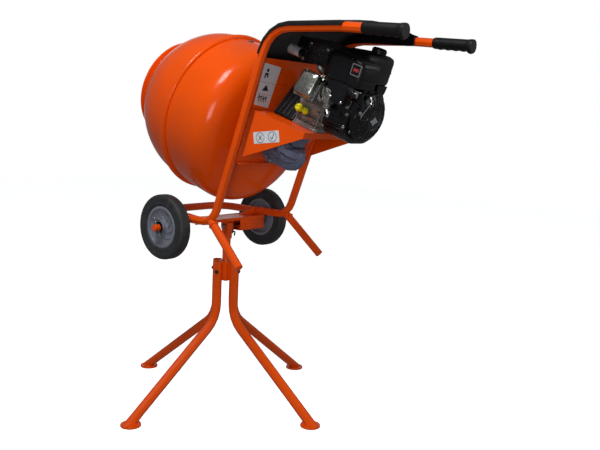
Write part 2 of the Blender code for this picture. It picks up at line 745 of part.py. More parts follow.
def build_gearbox(frame):
    """A cast housing over the gears, open towards the back plate, with a faceted rear end."""
    front = BACK_PLATE + SHEET + GAP
    rear = 0.385
    wall = 0.0035

    def casing(offset):
        return wrap([
            (0.0, 0.0, 0.0725 + offset), (LAYSHAFT_X, LAYSHAFT_HEIGHT, 0.0510 + offset),
            (0.0, INPUT_HEIGHT, 0.0170 + offset), (0.045, 0.060, 0.010 + offset)], 32)

    middle = (front + rear) / 2
    housing = to_mesh(cut_out("gearbox_housing", [casing(wall)], rear - front, CASTING, (0.0, middle, 0.0),
                              FACING_Y, frame))
    nose = [(rear - 0.001, 0.010), (rear - 0.001, -0.074), (0.410, -0.082), (0.432, -0.052), (0.447, -0.012),
            (0.449, 0.010)]
    end = to_mesh(cut_out("gearbox_nose", [nose], 0.100, None, rotation=FACING_X, parent=frame))
    hollow = to_mesh(cut_out("gearbox_hollow", [casing(0.0)], rear - wall - front + 0.01, None,
                             (0.0, (front - 0.01 + rear - wall) / 2, 0.0), FACING_Y, frame))
    bearing = rod("spindle_bore", SPINDLE_RADIUS + 0.0006, (0.0, 0.35, 0.0), (0.0, 0.436, 0.0), None, frame)
    pocket = rod("input_bore", 0.0082, (0.0, 0.35, INPUT_HEIGHT), (0.0, 0.42, INPUT_HEIGHT), None, frame)
    join(housing, end)
    cut(housing, hollow, bearing, pocket)


# Sheet metal behind the drum

def build_back_plate(frame):
    """The plate between the side tubes, folded back along its lower edge."""
    flange = 0.335
    low = (-TRAY_HALF, BACK_PLATE, PLATE_BOTTOM)
    plate = block("back_plate", low, (TRAY_HALF, flange, PLATE_TOP), ORANGE, frame)
    fold_low = (-0.3, BACK_PLATE + SHEET, PLATE_BOTTOM + SHEET)
    fold = block("back_plate_fold", fold_low, (0.3, 0.5, 0.5), None, frame)
    hole = rod("back_plate_hole", SPINDLE_RADIUS + 0.0015, (0.0, 0.30, 0.0), (0.0, 0.35, 0.0), None, frame)
    cut(plate, fold, hole)


def build_tray(frame):
    """The engine's tray: a flat top that tapers, a turned-down rear edge and two wedge-shaped sides."""
    front = BACK_PLATE + SHEET + GAP
    side_front = 0.3356
    bottom = -0.060
    taper = (TRAY_HALF - TRAY_REAR_HALF) / (TRAY_REAR - front)
    ahead = 0.05

    def plan(inset, start, end):
        wide = TRAY_HALF - inset - taper * (start - front)
        narrow = TRAY_HALF - inset - taper * (end - front)
        return [(-wide, start), (wide, start), (narrow, end), (-narrow, end)]

    outer = plan(0.0, front, TRAY_REAR)
    inner = plan(SHEET, front - ahead, TRAY_REAR - SHEET)
    height = TRAY_TOP - bottom
    place = (0.0, 0.0, bottom + height / 2)
    below = (0.0, 0.0, bottom + height / 2 - SHEET)
    tray = to_mesh(cut_out("engine_tray", [outer], height, ORANGE, place, parent=frame))
    room = to_mesh(cut_out("tray_room", [inner], height, None, below, parent=frame))
    flange = TRAY_TOP - 0.022
    under = [
        (front - ahead, TRAY_TOP - SHEET), (side_front, TRAY_TOP - SHEET), (side_front, -0.053),
        (TRAY_REAR - 0.002, flange), (TRAY_REAR + 0.05, flange), (TRAY_REAR + 0.05, -0.2),
        (front - ahead, -0.2),
    ]
    wedge = to_mesh(cut_out("tray_wedge", [under], 1.0, None, rotation=FACING_X, parent=frame))
    slot = block("tray_slot", (-0.086, 0.352, 0.05), (0.086, 0.432, 0.2), None, frame)
    cut(tray, room, wedge, slot)


# Engine

def build_engine(frame):
    crankcase = [
        (-0.095, TRAY_TOP + GAP), (0.105, TRAY_TOP + GAP), (0.105, 0.137), (0.086, 0.140),
        (0.0990, 0.2029), (0.0650, 0.2965), (-0.020, 0.2965), (-0.062, 0.270), (-0.075, 0.235),
        (-0.075, 0.140), (-0.095, 0.137),
    ]
    bore = circle((0.0, CRANK_HEIGHT), 0.0125, 24)
    cut_out("crankcase", [crankcase, bore], 0.112, ALUMINIUM, (0.0, ENGINE_MIDDLE, 0.0), FACING_Y, frame)
    build_crankshaft(frame)
    build_cylinder(frame)
    build_exhaust(frame)
    build_fuel_tank(frame)
    build_air_cleaner(frame)
    build_starter(frame)
    build_controls(frame)


def build_crankshaft(frame):
    """The crankshaft with its flywheel, and the pulley on its front end."""
    spin = frame_empty("crank_joint", (0.0, 0.0, CRANK_HEIGHT), parent=frame)
    shaft = [
        (0.0, 0.650), (0.010, 0.650), (0.010, 0.622), (0.068, 0.622), (0.070, 0.618), (0.070, 0.602),
        (0.068, 0.598), (0.022, 0.598), (0.022, 0.580), (0.011, 0.578), (0.011, 0.420), (0.009, 0.420),
        (0.009, 0.392), (0.0, 0.392),
    ]
    turned("crankshaft", shaft, STEEL, rotation=ALONG_Y, parent=spin, steps=24, ring=False)
    turned("engine_pulley", pulley_profile(ENGINE_PULLEY, 0.009 + GAP), STEEL, rotation=ALONG_Y, parent=spin,
           steps=20)


def build_cylinder(frame):
    """The finned head and the pressed rocker cover lean outwards from the crankcase."""
    tilt = (0.0, math.radians(-20.0), 0.0)
    lean = frame_empty("cylinder_axis", (0.0, ENGINE_MIDDLE, CRANK_HEIGHT), tilt, frame)
    fins = 6
    pitch = 0.0105
    start = 0.0882
    outline = [(start, -0.030), (start, 0.030)]
    for index in range(fins):
        near = start + 0.003 + index * pitch
        outline += [(near, 0.030), (near, 0.041), (near + 0.005, 0.041), (near + 0.005, 0.030)]
    far = start + fins * pitch
    outline += [(far, 0.030), (far, -0.030)]
    for index in reversed(range(fins)):
        near = start + 0.003 + index * pitch
        outline += [(near + 0.005, -0.030), (near + 0.005, -0.041), (near, -0.041), (near, -0.030)]
    cut_out("cylinder_head", [outline], 0.086, ALUMINIUM, parent=lean)
    cover = block("rocker_cover", (far + GAP, -0.042, -0.046), (far + 0.034, 0.042, 0.046), ZINC, lean)
    bevel(cover, 0.010, 3)


def build_exhaust(frame):
    """The silencer in its guard, with the outlet pipe at its outer front corner."""
    muffler = block("muffler", (-0.090, 0.345, 0.335), (0.090, 0.500, 0.405), BLACK_PAINT, frame)
    bevel(muffler, 0.010)
    outlet = rod("muffler_outlet", 0.0165, (0.092, 0.332, 0.354), (0.092, 0.392, 0.354), None, frame, 20)
    bore = rod("muffler_bore", 0.0140, (0.092, 0.300, 0.354), (0.092, 0.372, 0.354), None, frame, 20)
    join(muffler, outlet)
    cut(muffler, bore)


def build_fuel_tank(frame):
    tank = block("fuel_tank", (-0.150, 0.504, 0.318), (0.022, 0.610, 0.426), BLACK_PLASTIC, frame)
    bevel(tank, 0.020, 3)
    cap_joint = frame_empty("fuel_cap_joint", (-0.105, 0.555, 0.426), parent=frame)
    cap = [(0.0, 0.018), (0.022, 0.018), (0.026, 0.014), (0.026, GAP), (0.0, GAP)]
    turned("fuel_cap", cap, BLACK_PLASTIC, parent=cap_joint, steps=24, ring=False)


def build_air_cleaner(frame):
    box = [(0.510, 0.345), (0.518, 0.322), (0.583, 0.318), (0.583, 0.262), (0.592, 0.250), (0.616, 0.250),
           (0.625, 0.262), (0.625, 0.318), (0.665, 0.322), (0.675, 0.335), (0.672, 0.405), (0.660, 0.415),
           (0.530, 0.408), (0.514, 0.398)]
    place = (0.085, 0.0, 0.0)
    cleaner = to_mesh(cut_out("air_cleaner", [box], 0.106, BLACK_PLASTIC, place, FACING_X, frame))
    room = block("air_cleaner_room", (0.0, 0.5, 0.2), (0.100, 0.7, 0.3195), None, frame)
    cut(cleaner, room)
    body = block("carburettor", (0.100, 0.5376, 0.238), (0.138, 0.5825, 0.286), ALUMINIUM, frame)
    bowl = rod("carburettor_bowl", 0.0110, (0.119, 0.570, 0.218), (0.119, 0.570, 0.245), None, frame, 20)
    join(body, bowl)


def build_starter(frame):
    """The fan housing round the flywheel, the recoil cover on it and the pull handle."""
    outline = rounded_box((-0.089, TRAY_TOP + 0.002), (0.095, 0.314), 0.060, 5)
    room = circle((0.0, CRANK_HEIGHT), 0.078, 28)
    cut_out("fan_housing", [outline, room], 0.098, BLACK_PAINT, (0.0, 0.605, 0.0), FACING_Y, frame)
    outer = [(0.0, 0.692), (0.030, 0.692), (0.034, 0.688), (0.066, 0.683), (0.084, 0.672), (0.088, 0.6545)]
    inner = [(0.085, 0.6545), (0.081, 0.670), (0.065, 0.680), (0.0, 0.685)]
    place = (0.0, 0.0, CRANK_HEIGHT)
    cover = turned("recoil_cover", outer + inner, BLACK_PAINT, place, ALONG_Y, frame, 24, False)
    rope_height = CRANK_HEIGHT + 0.042
    rope_depth = 0.6700
    ends = [(0.05, rope_depth, rope_height), (0.12, rope_depth, rope_height)]
    rope_hole = rod("rope_hole", 0.0032, *ends, None, frame, 12)
    cut(cover, rope_hole)
    pull = frame_empty("starter_joint", (0.084, rope_depth, rope_height), parent=frame)
    profile = [
        (0.0, 0.022), (0.012, 0.022), (0.014, 0.018), (0.014, 0.008), (0.006, 0.002), (0.0022, 0.0),
        (0.0022, -0.140), (0.0, -0.140),
    ]
    turned("starter_handle", profile, BLACK_PLASTIC, rotation=ALONG_X, parent=pull, steps=16, ring=False)


def build_controls(frame):
    """The oil filler cap, the throttle and choke levers and the stop switch."""
    oil_joint = frame_empty("oil_cap_joint", (0.1010, 0.452, 0.1720), (0.0, math.radians(52.0), 0.0), frame)
    cap = [
        (0.0, 0.022), (0.010, 0.022), (0.0135, 0.018), (0.0135, 0.007), (0.009, 0.004), (0.009, 0.0),
        (0.0, 0.0),
    ]
    turned("oil_cap", cap, YELLOW_PLASTIC, parent=oil_joint, steps=20, ring=False)
    throttle = frame_empty("throttle_joint", (0.1000, 0.640, 0.250), parent=frame)
    arm = wrap([(0.0, 0.0, 0.008), (0.0080, 0.0205, 0.0035)], 16)
    cut_out("throttle_lever", [arm], 0.003, ZINC, rotation=FACING_X, parent=throttle)
    choke = frame_empty("choke_joint", (0.1400, 0.570, 0.266), parent=frame)
    small = wrap([(0.0, 0.0, 0.006), (-0.012, 0.018, 0.003)], 14)
    cut_out("choke_lever", [small], 0.003, ZINC, rotation=FACING_X, parent=choke)
    switch = frame_empty("stop_joint", (0.0953, 0.637, 0.288), parent=frame)
    rocker = [(0.0003, -0.008), (0.006, -0.006), (0.008, 0.0), (0.006, 0.006), (0.0003, 0.008)]
    cut_out("stop_switch", [rocker], 0.012, RED_PLASTIC, rotation=FACING_Y, parent=switch)


# Hood

HOOD_REAR = 0.700
SKIRT_DROP = 0.012
FLAP_DROP = 0.050
FLAP_HALF = 0.186


def hood_section(half_width):
    """Half of the hood's cross-section: (distance from the middle, height over the tubes)."""
    reach = TUBE_RADIUS + 0.0012
    round_tube = arc((half_width, 0.0), reach, 90.0, 5.0, 5)
    return [(0.0, 0.036), (0.070, 0.034), (0.140, 0.027), (0.185, reach + 0.002)] + round_tube


def hood_stations():
    """The part of the side tube's centre line under the hood, with the outward directions."""
    path = side_tube_path(1)
    stations = []
    for before, place, after in zip(path, path[1:], path[2:]):
        along = (after - before).normalized()
        if place.y < HOOD_REAR and place.z > 1.35:
            stations.append((place, Vector((0.0, along.z, -along.y))))
    rear = stations[0]
    top = stations[1]
    share = (HOOD_REAR - rear[0].y) / (top[0].y - rear[0].y)
    stations[0] = (rear[0].lerp(top[0], share), top[1])
    last, outward = stations[-1]
    stations.append((last + outward.cross(Vector((1.0, 0.0, 0.0))) * -SKIRT_DROP, outward))
    return stations


def build_hood():
    """The moulded hood lies over both side tubes and comes down in front of the engine."""
    shape = bmesh.new()
    rows = []
    for place, outward in hood_stations():
        half = hood_section(place.x)
        across = [(-x, height) for x, height in half[:0:-1]] + half
        row = []
        for x, height in across:
            spot = place + outward * height
            row.append(shape.verts.new((x, spot.y, spot.z)))
        rows.append(row)
    for first, second in zip(rows, rows[1:]):
        for column in range(len(first) - 1):
            shape.faces.new((first[column], second[column], second[column + 1], first[column + 1]))
    stations = hood_stations()
    down = (stations[-1][0] - stations[-2][0]).normalized() * FLAP_DROP
    edge = [corner for corner in rows[-1] if abs(corner.co.x) < FLAP_HALF]
    flap = [shape.verts.new(corner.co + down) for corner in edge]
    for column in range(len(flap) - 1):
        shape.faces.new((edge[column], flap[column], flap[column + 1], edge[column + 1]))
    hood = add("engine_hood", from_bmesh("engine_hood", shape), BLACK_PLASTIC)
    solid = hood.modifiers.new("Wall", "SOLIDIFY")
    solid.thickness = 0.003
    solid.offset = 1.0


def build():
    drum_frame = frame_empty("drum_frame", DRUM_CENTRE, (-DRUM_TILT, 0.0, 0.0))
    build_stand()
    build_post()
    build_tilt_beam()
    build_latch()
    build_frame()
    build_grips()
    build_wheels()
    build_drum(drum_frame)
    build_gear_train(drum_frame)
    build_belt(drum_frame)
    build_belt_guard(drum_frame)
    build_gearbox(drum_frame)
    build_back_plate(drum_frame)
    build_tray(drum_frame)
    build_engine(drum_frame)
    build_hood()


build()
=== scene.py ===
"""The look of a tip-up concrete mixer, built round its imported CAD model.

Pieces behind the drum are placed in the drum frame: (x, w, h), where x is the world's X,
w runs back along the drum's axis from the middle of the drum's ring and h is square to both.
"""

import json
import math

import bmesh
import bpy
from mathutils import Matrix, Vector


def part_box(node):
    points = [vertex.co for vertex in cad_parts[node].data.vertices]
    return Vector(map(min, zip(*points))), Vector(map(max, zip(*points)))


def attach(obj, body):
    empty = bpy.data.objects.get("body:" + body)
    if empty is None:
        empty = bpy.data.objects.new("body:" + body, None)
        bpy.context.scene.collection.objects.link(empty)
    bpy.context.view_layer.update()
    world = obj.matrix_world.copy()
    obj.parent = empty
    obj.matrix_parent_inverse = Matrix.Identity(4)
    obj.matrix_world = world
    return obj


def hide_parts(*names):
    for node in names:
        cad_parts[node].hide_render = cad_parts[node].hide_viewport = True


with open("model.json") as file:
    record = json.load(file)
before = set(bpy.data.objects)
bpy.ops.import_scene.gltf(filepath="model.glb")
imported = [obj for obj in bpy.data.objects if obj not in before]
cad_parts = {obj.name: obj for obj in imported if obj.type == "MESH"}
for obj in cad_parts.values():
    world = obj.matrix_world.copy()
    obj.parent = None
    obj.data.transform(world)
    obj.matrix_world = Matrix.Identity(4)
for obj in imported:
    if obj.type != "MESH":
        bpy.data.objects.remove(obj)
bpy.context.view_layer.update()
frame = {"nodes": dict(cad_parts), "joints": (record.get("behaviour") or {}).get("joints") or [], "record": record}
SCENE = bpy.context.scene
NODES = frame["nodes"]
JOINTS = {joint["name"]: joint for joint in frame["joints"]}

X_AXIS = Vector((1.0, 0.0, 0.0))
Y_AXIS = Vector((0.0, 1.0, 0.0))
Z_AXIS = Vector((0.0, 0.0, 1.0))
DRUM_CENTRE = Vector(JOINTS["drum_spin"]["pos_m"])
BACK = Vector(JOINTS["drum_spin"]["axis"]).normalized()
RISE = X_AXIS.cross(BACK)
STAND = Vector(JOINTS["stand_swivel"]["pos_m"])
STAND.z = 0.0
TILT = Vector(JOINTS["frame_tilt"]["pos_m"])


def axes(x_axis, y_axis, z_axis, origin):
    """A matrix that takes local coordinates to the world."""
    matrix = Matrix.Identity(4)
    for column, vector in enumerate((x_axis, y_axis, z_axis, origin)):
        for row in range(3):
            matrix[row][column] = vector[row]
    return matrix


def aimed(place, direction, parent=Matrix.Identity(4)):
    """A matrix whose Z points along a direction, with its origin at a place, both in the parent's axes."""
    rotation = Vector(direction).to_track_quat("Z", "Y").to_matrix().to_4x4()
    return parent @ Matrix.Translation(place) @ rotation


DRUM = axes(X_AXIS, BACK, RISE, DRUM_CENTRE)
BASE = Matrix.Translation(STAND)


# Camera, floor and lights

CAMERA_YAW = math.radians(51.0)
CAMERA_PITCH = math.radians(8.07)
CAMERA_ROLL = 0.0454
CAMERA_PLACE = STAND + Vector((2.1403, 2.1134, 1.1519))
FOCAL_LENGTH = 44.65
MIDDLE = (0.0, 0.0, 0.9)
LAMPS = (
    ("key", (1.5, 0.5, 3.3), (0.8, 1.0), 52.0),
    ("front", (2.9, 2.0, 1.0), (0.8, 1.2), 30.0),
    ("rim", (-2.2, -2.6, 1.6), (2.4, 2.4), 8.0),
    ("back", (-1.6, 2.8, 1.8), (1.4, 1.4), 15.0),
)
SKY_SEEN = 1.0
SKY_LIGHT = 0.2
FLOOR_SIZE = 9.0
FLOOR_GLOW = 0.8


def build_camera():
    """The camera, placed from the stand's foot, turned, pitched and slightly rolled."""
    level = math.cos(CAMERA_PITCH)
    view = Vector((-math.sin(CAMERA_YAW) * level, -math.cos(CAMERA_YAW) * level, -math.sin(CAMERA_PITCH)))
    right = view.cross(Z_AXIS).normalized()
    up = right.cross(view)
    rolled_right = right * math.cos(CAMERA_ROLL) + up * math.sin(CAMERA_ROLL)
    rolled_up = up * math.cos(CAMERA_ROLL) - right * math.sin(CAMERA_ROLL)
    data = bpy.data.cameras.new("camera")
    data.sensor_width = 36.0
    data.lens = FOCAL_LENGTH
    camera = bpy.data.objects.new("camera", data)
    camera.matrix_world = axes(rolled_right, rolled_up, -view, CAMERA_PLACE)
    SCENE.collection.objects.link(camera)
    SCENE.camera = camera


def area_light(name, place, size, power):
    """A rectangular lamp that faces the middle of the machine."""
    data = bpy.data.lights.new(name, "AREA")
    data.shape = "RECTANGLE"
    data.size, data.size_y = size
    data.energy = power
    light = bpy.data.objects.new(name, data)
    light.matrix_world = aimed(place, Vector(place) - Vector(MIDDLE))
    SCENE.collection.objects.link(light)


def build_studio():
    """A white surround as the camera sees it, a dimmer sky that lights the machine, and four lamps."""
    world = bpy.data.worlds.new("studio")
    world.use_nodes = True
    nodes = world.node_tree.nodes
    links = world.node_tree.links
    lit = nodes["Background"]
    lit.inputs["Color"].default_value = (0.96, 0.98, 1.0, 1.0)
    lit.inputs["Strength"].default_value = SKY_LIGHT
    seen = nodes.new("ShaderNodeBackground")
    seen.inputs["Color"].default_value = (1.0, 1.0, 1.0, 1.0)
    seen.inputs["Strength"].default_value = SKY_SEEN
    rays = nodes.new("ShaderNodeLightPath")
    either = nodes.new("ShaderNodeMixShader")
    links.new(rays.outputs["Is Camera Ray"], either.inputs["Fac"])
    links.new(lit.outputs["Background"], either.inputs[1])
    links.new(seen.outputs["Background"], either.inputs[2])
    links.new(either.outputs["Shader"], nodes["World Output"].inputs["Surface"])
    SCENE.world = world
    SCENE.view_settings.view_transform = "Standard"
    for lamp in LAMPS:
        area_light(*lamp)
    build_floor()


def build_floor():
    """A pale floor. It sheds no light, so the underside of the drum stays in shade."""
    shape = bmesh.new()
    bmesh.ops.create_grid(shape, x_segments=1, y_segments=1, size=FLOOR_SIZE)
    data = bpy.data.meshes.new("floor")
    shape.to_mesh(data)
    shape.free()
    floor = bpy.data.objects.new("floor", data)
    floor.location = (0.0, 0.0, -0.0005)
    floor.visible_diffuse = False
    floor.visible_glossy = False
    paper = surface("floor_paper", (0.93, 0.93, 0.93), 0.9, tone=0.01, tone_scale=0.7, glow=FLOOR_GLOW)
    data.materials.append(paper)
    SCENE.collection.objects.link(floor)


# Materials

def surface(name, colour, roughness, metallic=0.0, coat=0.0, tone=0.08, tone_scale=9.0, grain=260.0,
            bump=0.0, spread=0.06, dirt=None, wear=None, edge=0.0, specular=0.5, glow=0.0):
    """A procedural finish.

    The tone varies the colour in soft patches and spread varies the roughness. The grain and bump
    give a fine relief. Dirt is (colour, amount) in patches, wear is (colour, amount) along the edges,
    whose width is edge. Glow keeps the floor white.
    """
    material = bpy.data.materials.new(name)
    material.use_nodes = True
    tree = material.node_tree
    nodes = tree.nodes
    links = tree.links
    shader = nodes["Principled BSDF"]
    shader.inputs["Metallic"].default_value = metallic
    if coat:
        shader.inputs["Coat Weight"].default_value = coat
        shader.inputs["Coat Roughness"].default_value = 0.12
    place = nodes.new("ShaderNodeTexCoord")
    shader.inputs["Specular IOR Level"].default_value = specular
    if glow:
        shader.inputs["Emission Color"].default_value = (1.0, 1.0, 1.0, 1.0)
        shader.inputs["Emission Strength"].default_value = glow

    def noise(scale, detail):
        texture = nodes.new("ShaderNodeTexNoise")
        texture.inputs["Scale"].default_value = scale
        texture.inputs["Detail"].default_value = detail
        links.new(place.outputs["Object"], texture.inputs["Vector"])
        return texture.outputs["Fac"]

    def ranged(value, low, high, start=0.3, end=0.7):
        node = nodes.new("ShaderNodeMapRange")
        node.inputs["From Min"].default_value = start
        node.inputs["From Max"].default_value = end
        node.inputs["To Min"].default_value = low
        node.inputs["To Max"].default_value = high
        links.new(value, node.inputs["Value"])
        return node.outputs["Result"]

    def mixed(factor, first, second):
        node = nodes.new("ShaderNodeMix")
        node.data_type = "RGBA"
        links.new(factor, node.inputs[0])
        for socket, value in ((node.inputs[6], first), (node.inputs[7], second)):
            if isinstance(value, tuple):
                socket.default_value = (*value, 1.0)
            else:
                links.new(value, socket)
        return node.outputs[2]

    darker = tuple(channel * (1.0 - tone) for channel in colour)
    lighter = tuple(min(1.0, channel * (1.0 + tone)) for channel in colour)
    patches = noise(tone_scale, 4.0)
    paint = mixed(ranged(patches, 0.0, 1.0), darker, lighter)
    rough = ranged(noise(tone_scale * 4.0, 3.0), roughness - spread, roughness + spread)
    if dirt:
        dust = ranged(noise(tone_scale * 2.3, 8.0), 0.0, dirt[1], 0.52, 0.72)
        paint = mixed(dust, paint, dirt[0])
    normal = None
    if edge:
        rounding = nodes.new("ShaderNodeBevel")
        rounding.samples = 4
        rounding.inputs["Radius"].default_value = edge
        normal = rounding.outputs["Normal"]
        if wear:
            geometry = nodes.new("ShaderNodeNewGeometry")
            dot = nodes.new("ShaderNodeVectorMath")
            dot.operation = "DOT_PRODUCT"
            links.new(normal, dot.inputs[0])
            links.new(geometry.outputs["Normal"], dot.inputs[1])
            worn = ranged(dot.outputs["Value"], wear[1], 0.0, 0.8, 0.97)
            broken = ranged(noise(140.0, 4.0), 0.0, 1.0, 0.42, 0.58)
            product = nodes.new("ShaderNodeMath")
            product.operation = "MULTIPLY"
            links.new(worn, product.inputs[0])
            links.new(broken, product.inputs[1])
            paint = mixed(product.outputs["Value"], paint, wear[0])
    links.new(paint, shader.inputs["Base Color"])
    links.new(rough, shader.inputs["Roughness"])
    if bump:
        relief = nodes.new("ShaderNodeBump")
        relief.inputs["Strength"].default_value = bump
        relief.inputs["Distance"].default_value = 0.001
        links.new(noise(grain, 3.0), relief.inputs["Height"])
        if normal:
            links.new(normal, relief.inputs["Normal"])
        normal = relief.outputs["Normal"]
    if normal:
        links.new(normal, shader.inputs["Normal"])
    return material


BARE = (0.3, 0.27, 0.25)
FINISHES = {
    "orange_paint": surface("orange_paint", (0.8, 0.08, 0.0012), 0.24, coat=0.07, tone=0.05, tone_scale=5.0,
                            grain=420.0, bump=0.03, dirt=((0.66, 0.085, 0.004), 0.3), wear=(BARE, 0.35),
                            edge=0.0012, specular=0.18),
    "bare_steel": surface("bare_steel", (0.34, 0.33, 0.31), 0.36, 1.0, tone=0.12, bump=0.12, edge=0.0008),
    "zinc_plate": surface("zinc_plate", (0.4, 0.405, 0.375), 0.27, 1.0, tone=0.18, tone_scale=30.0,
                          bump=0.1, dirt=((0.2, 0.18, 0.13), 0.45), edge=0.0015),
    "gearbox_casting": surface("gearbox_casting", (0.14, 0.158, 0.25), 0.46, 0.2, tone=0.14,
                               tone_scale=22.0, bump=0.45, dirt=((0.16, 0.15, 0.15), 0.2),
                               wear=((0.3, 0.31, 0.34), 0.6), edge=0.0025),
    "engine_casting": surface("engine_casting", (0.3, 0.285, 0.275), 0.42, 0.8, tone=0.18, tone_scale=26.0,
                              bump=0.4, dirt=((0.11, 0.085, 0.07), 0.45), edge=0.0018),
    "black_plastic": surface("black_plastic", (0.005, 0.005, 0.0062), 0.34, tone=0.25, tone_scale=12.0,
                             grain=900.0, bump=0.12, dirt=((0.014, 0.013, 0.013), 0.25), edge=0.0012,
                             specular=0.26),
    "black_paint": surface("black_paint", (0.004, 0.004, 0.0052), 0.22, coat=0.12, tone=0.2, bump=0.06,
                           dirt=((0.014, 0.013, 0.012), 0.25), wear=(BARE, 0.2), edge=0.0014,
                           specular=0.3),
    "rubber": surface("rubber", (0.0045, 0.0045, 0.005), 0.46, tone=0.2, tone_scale=30.0,
                      grain=700.0, bump=0.3, dirt=((0.012, 0.012, 0.012), 0.25), edge=0.001, specular=0.22),
    "tyre_rubber": surface("tyre_rubber", (0.022, 0.023, 0.025), 0.58, tone=0.2, tone_scale=14.0, grain=600.0,
                           bump=0.35, dirt=((0.06, 0.058, 0.054), 0.4), edge=0.003, specular=0.4),
    "grey_plastic": surface("grey_plastic", (0.165, 0.175, 0.215), 0.38, tone=0.09, tone_scale=20.0,
                            grain=800.0, bump=0.15, dirt=((0.08, 0.08, 0.09), 0.3), edge=0.0015),
    "yellow_plastic": surface("yellow_plastic", (0.76, 0.66, 0.004), 0.34, tone=0.08, tone_scale=40.0,
                              bump=0.08, edge=0.001, specular=0.35),
    "red_plastic": surface("red_plastic", (0.55, 0.018, 0.018), 0.34, tone=0.1, tone_scale=40.0, bump=0.08,
                           edge=0.0008),
}
DRUM_PAINT = surface("drum_paint", (0.8, 0.08, 0.0012), 0.2, coat=0.1, tone=0.05, tone_scale=4.0,
                     grain=420.0, bump=0.02, dirt=((0.66, 0.082, 0.003), 0.3), specular=0.18)
CHROME = surface("bright_steel", (0.62, 0.62, 0.65), 0.16, 1.0, tone=0.06, tone_scale=40.0, bump=0.05,
                 spread=0.04)
SATIN_STEEL = surface("satin_steel", (0.8, 0.8, 0.84), 0.38, 0.75, tone=0.08, tone_scale=40.0, bump=0.1)
LABEL_WHITE = surface("label_film", (0.62, 0.64, 0.68), 0.35, tone=0.04, tone_scale=25.0, bump=0.04)
LABEL_GREY = surface("label_print", (0.014, 0.015, 0.018), 0.45, tone=0.1, tone_scale=60.0)
BADGE_RED = surface("badge_enamel", (0.45, 0.03, 0.025), 0.3, coat=0.4, tone=0.1, tone_scale=80.0)


def shade_by_angle(data, degrees):
    """Smooth faces, with the edges sharper than an angle kept crisp."""
    shape = bmesh.new()
    shape.from_mesh(data)
    limit = math.radians(degrees)
    for face in shape.faces:
        face.smooth = True
    for line in shape.edges:
        line.smooth = line.is_manifold and line.calc_face_angle(0.0) < limit
    shape.to_mesh(data)
    shape.free()


def dress_nodes():
    """The CAD nodes keep their meshes: they are welded and shaded by modifiers and get their finishes."""
    slots = {row["node"]: row["material_slot"] for row in frame["record"]["subparts"]}
    for name, node in NODES.items():
        node.data.materials.clear()
        node.data.materials.append(FINISHES[slots[name]])
        for face in node.data.polygons:
            face.use_smooth = True
        weld = node.modifiers.new("Weld", "WELD")
        weld.merge_threshold = 0.00002
        split = node.modifiers.new("Split", "EDGE_SPLIT")
        split.split_angle = math.radians(24.0)


# Mesh helpers. Each add_ function adds closed geometry to a shape, in the axes of a matrix.

def polar(radius, degrees, height=0.0):
    """A point round Z at an angle from X."""
    turn = math.radians(degrees)
    return Vector((radius * math.cos(turn), radius * math.sin(turn), height))


def circle(radius, sides, height=0.0):
    """Spots at equal steps round Z, the first on X."""
    return [polar(radius, 360 * step / sides, height) for step in range(sides)]


def across_ring(centre, side, other, spots):
    """Flat spots laid round a centre, in the plane of two directions."""
    return [centre + side * spot.x + other * spot.y for spot in spots]


def smooth_path(points, steps):
    """A Catmull-Rom line through some points."""
    line = [Vector(point) for point in (points[0], *points, points[-1])]
    path = []
    for before, start, end, after in zip(line, line[1:], line[2:], line[3:]):
        for step in range(steps):
            t = step / steps
            curve = (2 * before - 5 * start + 4 * end - after) * t ** 2
            curve += (3 * start - before - 3 * end + after) * t ** 3
            path.append(0.5 * (2 * start + (end - before) * t + curve))
    path.append(line[-1])
    return path


def place_ring(shape, spots, matrix=Matrix.Identity(4)):
    """Corners of a shape at some spots given in the axes of a matrix."""
    return [shape.verts.new(matrix @ Vector(spot)) for spot in spots]


def loft(shape, rings, closed=False):
    """Walls from each ring of corners to the next, with both ends capped unless the last meets the first."""
    following = rings[1:] + rings[:1] if closed else rings[1:]
    for first, second in zip(rings, following):
        for index in range(len(first)):
            after = (index + 1) % len(first)
            shape.faces.new((first[index], first[after], second[after], second[index]))
    if not closed:
        shape.faces.new(rings[0][::-1])
        shape.faces.new(rings[-1])


def add_box(shape, low, high, matrix=Matrix.Identity(4), bevel=0.0):
    """A box between two corners, with rounded edges where a bevel is given."""
    low = Vector(low)
    high = Vector(high)
    made = bmesh.ops.create_cube(shape, size=1.0)["verts"]
    bmesh.ops.scale(shape, vec=high - low, verts=made)
    bmesh.ops.translate(shape, vec=(low + high) / 2, verts=made)
    bmesh.ops.transform(shape, matrix=matrix, verts=made)
    if bevel:
        edges = list({line for corner in made for line in corner.link_edges})
        bmesh.ops.bevel(shape, geom=edges, offset=bevel, segments=2, profile=0.5, affect="EDGES")


def add_lathe(shape, profile, matrix=Matrix.Identity(4), steps=24):
    """A profile of (radius, height) turned about Z. It closes on itself unless it ends on the axis."""
    rings = []
    for radius, height in profile:
        spots = circle(radius, steps, height) if radius > 1e-6 else [(0.0, 0.0, height)]
        rings.append(place_ring(shape, spots, matrix))
    closed = profile[0][0] > 1e-6
    pairs = list(zip(rings, rings[1:]))
    if closed:
        pairs.append((rings[-1], rings[0]))
    for first, second in pairs:
        for step in range(steps):
            after = (step + 1) % steps
            corners = [first[step % len(first)], first[after % len(first)], second[after % len(second)],
                       second[step % len(second)]]
            distinct = list(dict.fromkeys(corners))
            if len(distinct) > 2:
                shape.faces.new(distinct)


def add_prism(shape, outline, low, high, matrix=Matrix.Identity(4)):
    """An outline in X and Y carried from one Z to another."""
    loft(shape, [place_ring(shape, [(spot[0], spot[1], height) for spot in outline], matrix)
                 for height in (low, high)])


